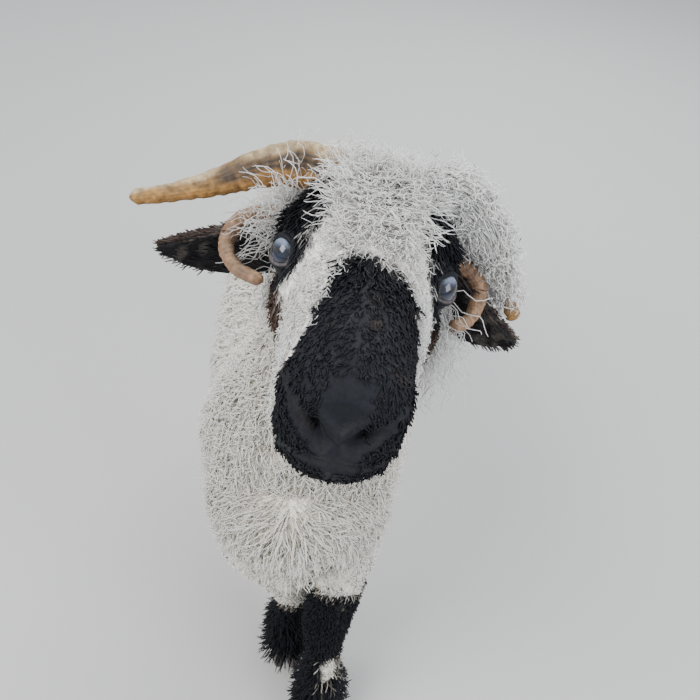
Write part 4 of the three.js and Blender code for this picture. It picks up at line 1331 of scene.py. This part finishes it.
class SHEEP_OT_head_wool(bpy.types.Operator):
    """Grow the white curls of crown, brow and cheeks"""

    bl_idname = "sheep.head_wool"
    bl_label = "Head wool"

    def execute(self, context):
        sizes, colours = settings()
        rng = np.random.default_rng(sizes.seed + 40)
        material = coat_material("head_wool", 0.88, 0.4, 0.2, 0.4)
        spacing = 1000 * sizes.crown_spacing
        u, angle, place, normal = scatter(HEAD, spacing, rng)
        marks, bare = head_markings(place, colours)
        keep = (bare < 0.55) & (place[:, 1] > -112)
        u, angle, place, normal, marks = chosen_rows(keep, u, angle, place, normal, marks)
        top = ease(place[:, 2], 0, 45) * ease(place[:, 1], -62, -5)
        length = 1000 * sizes.crown_length * (0.36 + 0.64 * top)
        by_patch = ease(1.9 - eye_patch_distance(both_sides(place)), 0, 0.5)
        length = length * (1 - 0.78 * by_patch * (np.abs(place[:, 0]) > 26))
        ones = np.ones(len(place))
        way = np.column_stack([0.4 * np.sign(place[:, 0]), -0.8 * ones, -0.2 * ones])
        lie = lie_along(normal, way, rng, 60)
        rows = head_tufts(
            place, normal, lie, length, spacing * 0.19 * ones, marks, atlas(8, u, angle), rng,
            stand=0.42, curl=2.6, turns=1.35, sink=2.0, gather=0.35, staple=11.0,
        )
        coat_pieces("head_wool", rows, 4, material, "head_wool")
        self.wisps(colours, material, rng)
        self.drape(colours, material, rng)
        return {"FINISHED"}

    def wisps(self, colours, material, rng):
        """Thin long curls: out of the crown, round the horns' roots, and hanging from the cheeks."""
        everywhere = scatter(HEAD, 2.6, rng)
        for number, (centre, reach, way, long, share) in enumerate(WISPS):
            u, angle, place, normal = everywhere
            near = np.linalg.norm((place - np.array(centre)) / np.array(reach), axis=1) < 1
            near &= rng.random(len(place)) < share
            u, angle, place, normal = chosen_rows(near, u, angle, place, normal)
            n = len(place)
            marks = np.tile(np.array(colours.crown), (n, 1)) * rng.uniform(0.62, 1.12, n)[:, None]
            lie = lie_along(normal, np.tile(np.array(way, float), (n, 1)), rng, 35)
            rows = head_tufts(
                place, normal, lie, long * rng.uniform(0.6, 1.15, n), 0.42 * np.ones(n),
                np.clip(marks, 0, 1), atlas(9, u, angle), rng,
                stand=0.45, curl=4.2, turns=2.2, sink=2.0, gather=0.0, staple=14.0,
            )
            coat_pieces(f"head_wisps_{number + 1}", rows, 10, material, "head_wool")

    def drape(self, colours, material, rng):
        """Wool that hangs from the crown over the far upper horn and hides most of it."""
        n, rings = 900, 11
        path = np.array(UPPER_PATHS[LEFT], float)
        reach = rng.uniform(0.35, 0.86, n)
        t = np.linspace(0, 1, rings + 1)
        u = 0.02 + reach[:, None] * t[None, :]
        centre = spline(path, u.ravel()).reshape(n, rings + 1, 3)
        along = unit(spline(path, np.minimum(u + 0.01, 1).ravel()) - spline(path, (u - 0.01).ravel()))
        along = along.reshape(n, rings + 1, 3)
        side = unit(np.cross(along, np.array([0.0, 1.0, 0.1])))
        front = np.cross(side, along)
        turn = (rng.uniform(-2.5, 1.5, n)[:, None] + rng.normal(0, 0.25, n)[:, None] * t)[:, :, None]
        base, tip = UPPER_HORN["base"], UPPER_HORN["tip"]
        horn = (base + (tip - base) * ease(u, 0, 1))[:, :, None]
        off = rng.uniform(0.5, 7.5, n)[:, None, None] * np.sin(np.pi * np.clip(t + 0.12, 0, 1))[None, :, None]
        swing = 1.9 * np.sin(2 * np.pi * (2.6 * t[None, :] + rng.random(n)[:, None]))[:, :, None]
        out = np.cos(turn) * side * (horn + off + swing) + np.sin(turn) * front * (0.75 * horn + off + swing)
        line = centre + out
        line[:, :, 2] -= 10 * rng.random(n)[:, None] * t[None, :] ** 2
        colour = np.tile(np.array(colours.crown), (n, 1)) * rng.uniform(0.85, 1.12, n)[:, None]
        spot = atlas(11, reach, np.mod(turn[:, 0, 0], 2 * np.pi))
        rows = (np.full(n, 0.6), np.clip(colour, 0, 1), spot)
        strand_mesh("head_drape", from_head(line), *rows, material, "head_wool")
        over = horn_form(UPPER_PATHS[LEFT], upper_horn_up(LEFT), **UPPER_HORN)
        u, angle, place, normal = scatter(over, 3.0, rng, (0.05, 0.8))
        keep = normal @ unit(np.array([0.3, -0.7, 0.6])) > -0.55
        u, angle, place, normal = chosen_rows(keep, u, angle, place, normal)
        n = len(place)
        white = np.tile(np.array(colours.crown), (n, 1))
        lie = lie_along(normal, np.tile(np.array([0.6, -0.2, -0.7]), (n, 1)), rng, 50)
        rows = head_tufts(
            place + 3 * normal, normal, lie, 17 * (1 - 0.35 * u), 0.72 * np.ones(n), white,
            atlas(12, u, angle), rng,
            stand=0.45, curl=2.4, turns=1.8, sink=2.0, gather=0.2, staple=9.0,
        )
        coat_pieces("head_drape_curls", rows, 5, material, "head_wool")


class SHEEP_OT_face_hair(bpy.types.Operator):
    """Grow the short dark hair of muzzle, eye patches and cheeks"""

    bl_idname = "sheep.face_hair"
    bl_label = "Face hair"

    def execute(self, context):
        sizes, colours = settings()
        rng = np.random.default_rng(sizes.seed + 60)
        material = coat_material("face_hair", 0.62, 0.0, 0.3, 0.3)
        u, angle, place, normal = scatter(HEAD, 2.6, rng)
        marks, bare = head_markings(place, colours)
        m = both_sides(place)
        leather = line_distance(m, NOSTRIL) < 6.5
        leather |= (np.abs(place[:, 0]) < 11) & (place[:, 1] < -150) & (place[:, 2] > -62)
        lips = line_distance(m, MOUTH) < 3.0
        from_eye = np.linalg.norm(m - EYE, axis=1)
        eye = from_eye < 20
        keep = (bare > 0.3) & ~leather & ~lips & ~eye
        u, angle, place, normal, marks = chosen_rows(keep, u, angle, place, normal, marks)
        n = len(place)
        way = np.column_stack([0.3 * np.sign(place[:, 0]), np.full(n, -1.0), np.full(n, -0.25)])
        lie = lie_along(normal, way, rng, 20)
        rough = ease(place[:, 1], -110, -40)
        length = 1000 * sizes.face_length * (0.8 + 1.3 * rough)
        length = length + 5 * ease(1.1 - eye_patch_distance(m[keep]), 0, 0.3) * (place[:, 2] > 12)
        length = length * (0.35 + 0.65 * ease(from_eye[keep], 20, 36))
        rows = head_tufts(
            place, normal, lie, length, 0.62 * np.ones(n), marks, atlas(10, u, angle), rng,
            stand=0.3, curl=0.6, turns=0.9, sink=0.6, gather=0.1, staple=6.0, tint=0.35,
        )
        coat_pieces("face_hair", rows, 3, material, "head_wool")
        return {"FINISHED"}


class SHEEP_OT_socks(bpy.types.Operator):
    """Grow the fluffy black hair of the feet"""

    bl_idname = "sheep.socks"
    bl_label = "Socks"

    def execute(self, context):
        sizes, colours = settings()
        material = coat_material("sock_hair", 0.68, 0.0, 0.3, 0.3)
        for number, form in enumerate(BODY_FORMS[FIRST_LEG:]):
            rng = np.random.default_rng(sizes.seed + 80 + number)
            u, angle, place, normal = scatter(form, 3.0, rng, (0.2, 1.0))
            marks, black = body_markings(place, colours)
            keep = (black >= 0.4) & (place[:, 2] > HOOF_HEIGHT + 1)
            u, angle, place, normal, marks = chosen_rows(keep, u, angle, place, normal, marks)
            n = len(place)
            way = np.tile(np.array([0.0, 0.0, -1.0]), (n, 1)) + 0.5 * normal
            lie = lie_along(normal, way, rng, 28)
            full = 1000 * sizes.sock_length
            room = place[:, 2] - 6
            length = np.minimum(full * (0.36 + 0.64 * ease(-place[:, 2], -150, -70)), room)
            rows = make_tufts(
                place, normal, lie, length, 0.95 * np.ones(n), marks,
                atlas(FIRST_LEG + number, u, angle), rng,
                stand=0.5, curl=1.6, turns=1.1, sink=1.5, gather=0.3, staple=8.0, tint=0.3,
            )
            coat_pieces(f"sock_{FORM_NAMES[FIRST_LEG + number]}", rows, 3, material, "sock_hair")
        return {"FINISHED"}


class SHEEP_OT_stage(bpy.types.Operator):
    """Set the pale floor, the soft lights and the camera"""

    bl_idname = "sheep.stage"
    bl_label = "Stage"

    def execute(self, context):
        corners = [(-9, -9, 0), (9, -9, 0), (9, 9, 0), (-9, 9, 0)]
        floor = mesh_object("floor", corners, [(0, 1, 2, 3)], smooth=False)
        material, _, shader = new_material("floor", 0.85)
        shader.inputs["Base Color"].default_value = (0.5, 0.5, 0.49, 1)
        floor.data.materials.append(material)
        world = bpy.data.worlds.new("studio")
        bpy.context.scene.world = world
        world.use_nodes = True
        world.node_tree.nodes["Background"].inputs["Color"].default_value = (0.9, 0.94, 1.0, 1)
        world.node_tree.nodes["Background"].inputs["Strength"].default_value = 1.05
        self.lamp("key", (-1.6, -1.2, 2.6), (0, 0, 0.55), 1.8, 88, (1.0, 0.98, 0.95))
        self.lamp("fill", (1.9, -1.4, 1.6), (0, 0, 0.5), 1.6, 44, (0.95, 0.97, 1.0))
        self.lamp("back", (0.6, 2.2, 2.4), (0, 0.1, 0.5), 1.6, 60, (1.0, 1.0, 1.0))
        self.camera()
        return {"FINISHED"}

    def lamp(self, name, place, target, size, power, colour):
        """A soft square lamp turned to its target."""
        light = bpy.data.lights.new(name, "AREA")
        light.size = size
        light.energy = power
        light.color = colour
        lamp = bpy.data.objects.new(name, light)
        lamp.location = place
        lamp.rotation_euler = (Vector(target) - Vector(place)).to_track_quat("-Z", "Y").to_euler()
        bpy.context.collection.objects.link(lamp)

    def camera(self):
        """The photo's view: 44 degrees down, tilted six degrees, 1.1 m up."""
        down, roll = math.radians(44), math.radians(6)
        forward = np.array([0, math.cos(down), -math.sin(down)])
        level = np.array([1.0, 0, 0])
        right = math.cos(roll) * level + math.sin(roll) * np.cross(level, forward)
        up = np.cross(right, forward)
        data = bpy.data.cameras.new("camera")
        data.sensor_width = 36
        data.lens = 36
        camera = bpy.data.objects.new("camera", data)
        turn = Matrix([(right[i], up[i], -forward[i]) for i in range(3)]).to_4x4()
        camera.matrix_world = Matrix.Translation(Vector(to_world((0, -420, 1100)))) @ turn
        bpy.context.collection.objects.link(camera)
        bpy.context.scene.camera = camera


OPERATORS = (
    SHEEP_OT_stage,
    SHEEP_OT_skin,
    SHEEP_OT_eyes,
    SHEEP_OT_horns,
    SHEEP_OT_ears,
    SHEEP_OT_hooves,
    SHEEP_OT_fleece,
    SHEEP_OT_head_wool,
    SHEEP_OT_face_hair,
    SHEEP_OT_socks,
)


class SHEEP_PT_panel(bpy.types.Panel):
    """The sheep's pieces, sizes and colours"""

    bl_idname = "SHEEP_PT_panel"
    bl_label = "Sheep"
    bl_space_type = "VIEW_3D"
    bl_region_type = "UI"
    bl_category = "Sheep"

    def draw(self, context):
        for operator in OPERATORS:
            self.layout.operator(operator.bl_idname)
        for group in (context.scene.sheep_sizes, context.scene.sheep_colours):
            for key in group.bl_rna.properties.keys():
                if key not in ("rna_type", "name"):
                    self.layout.prop(group, key)


CLASSES = (SheepSizes, SheepColours, *OPERATORS, SHEEP_PT_panel)


def register():
    """Adds the classes and the scene's settings."""
    for item in CLASSES:
        bpy.utils.register_class(item)
    bpy.types.Scene.sheep_sizes = bpy.props.PointerProperty(type=SheepSizes)
    bpy.types.Scene.sheep_colours = bpy.props.PointerProperty(type=SheepColours)


def unregister():
    """Removes them again."""
    del bpy.types.Scene.sheep_colours
    del bpy.types.Scene.sheep_sizes
    for item in reversed(CLASSES):
        bpy.utils.unregister_class(item)


def main():
    """Builds every piece in order."""
    register()
    bpy.ops.sheep.stage()
    bpy.ops.sheep.skin()
    bpy.ops.sheep.eyes()
    bpy.ops.sheep.horns()
    bpy.ops.sheep.ears()
    bpy.ops.sheep.hooves()
    bpy.ops.sheep.fleece()
    bpy.ops.sheep.head_wool()
    bpy.ops.sheep.face_hair()
    bpy.ops.sheep.socks()


if __name__ == "__main__":
    main()
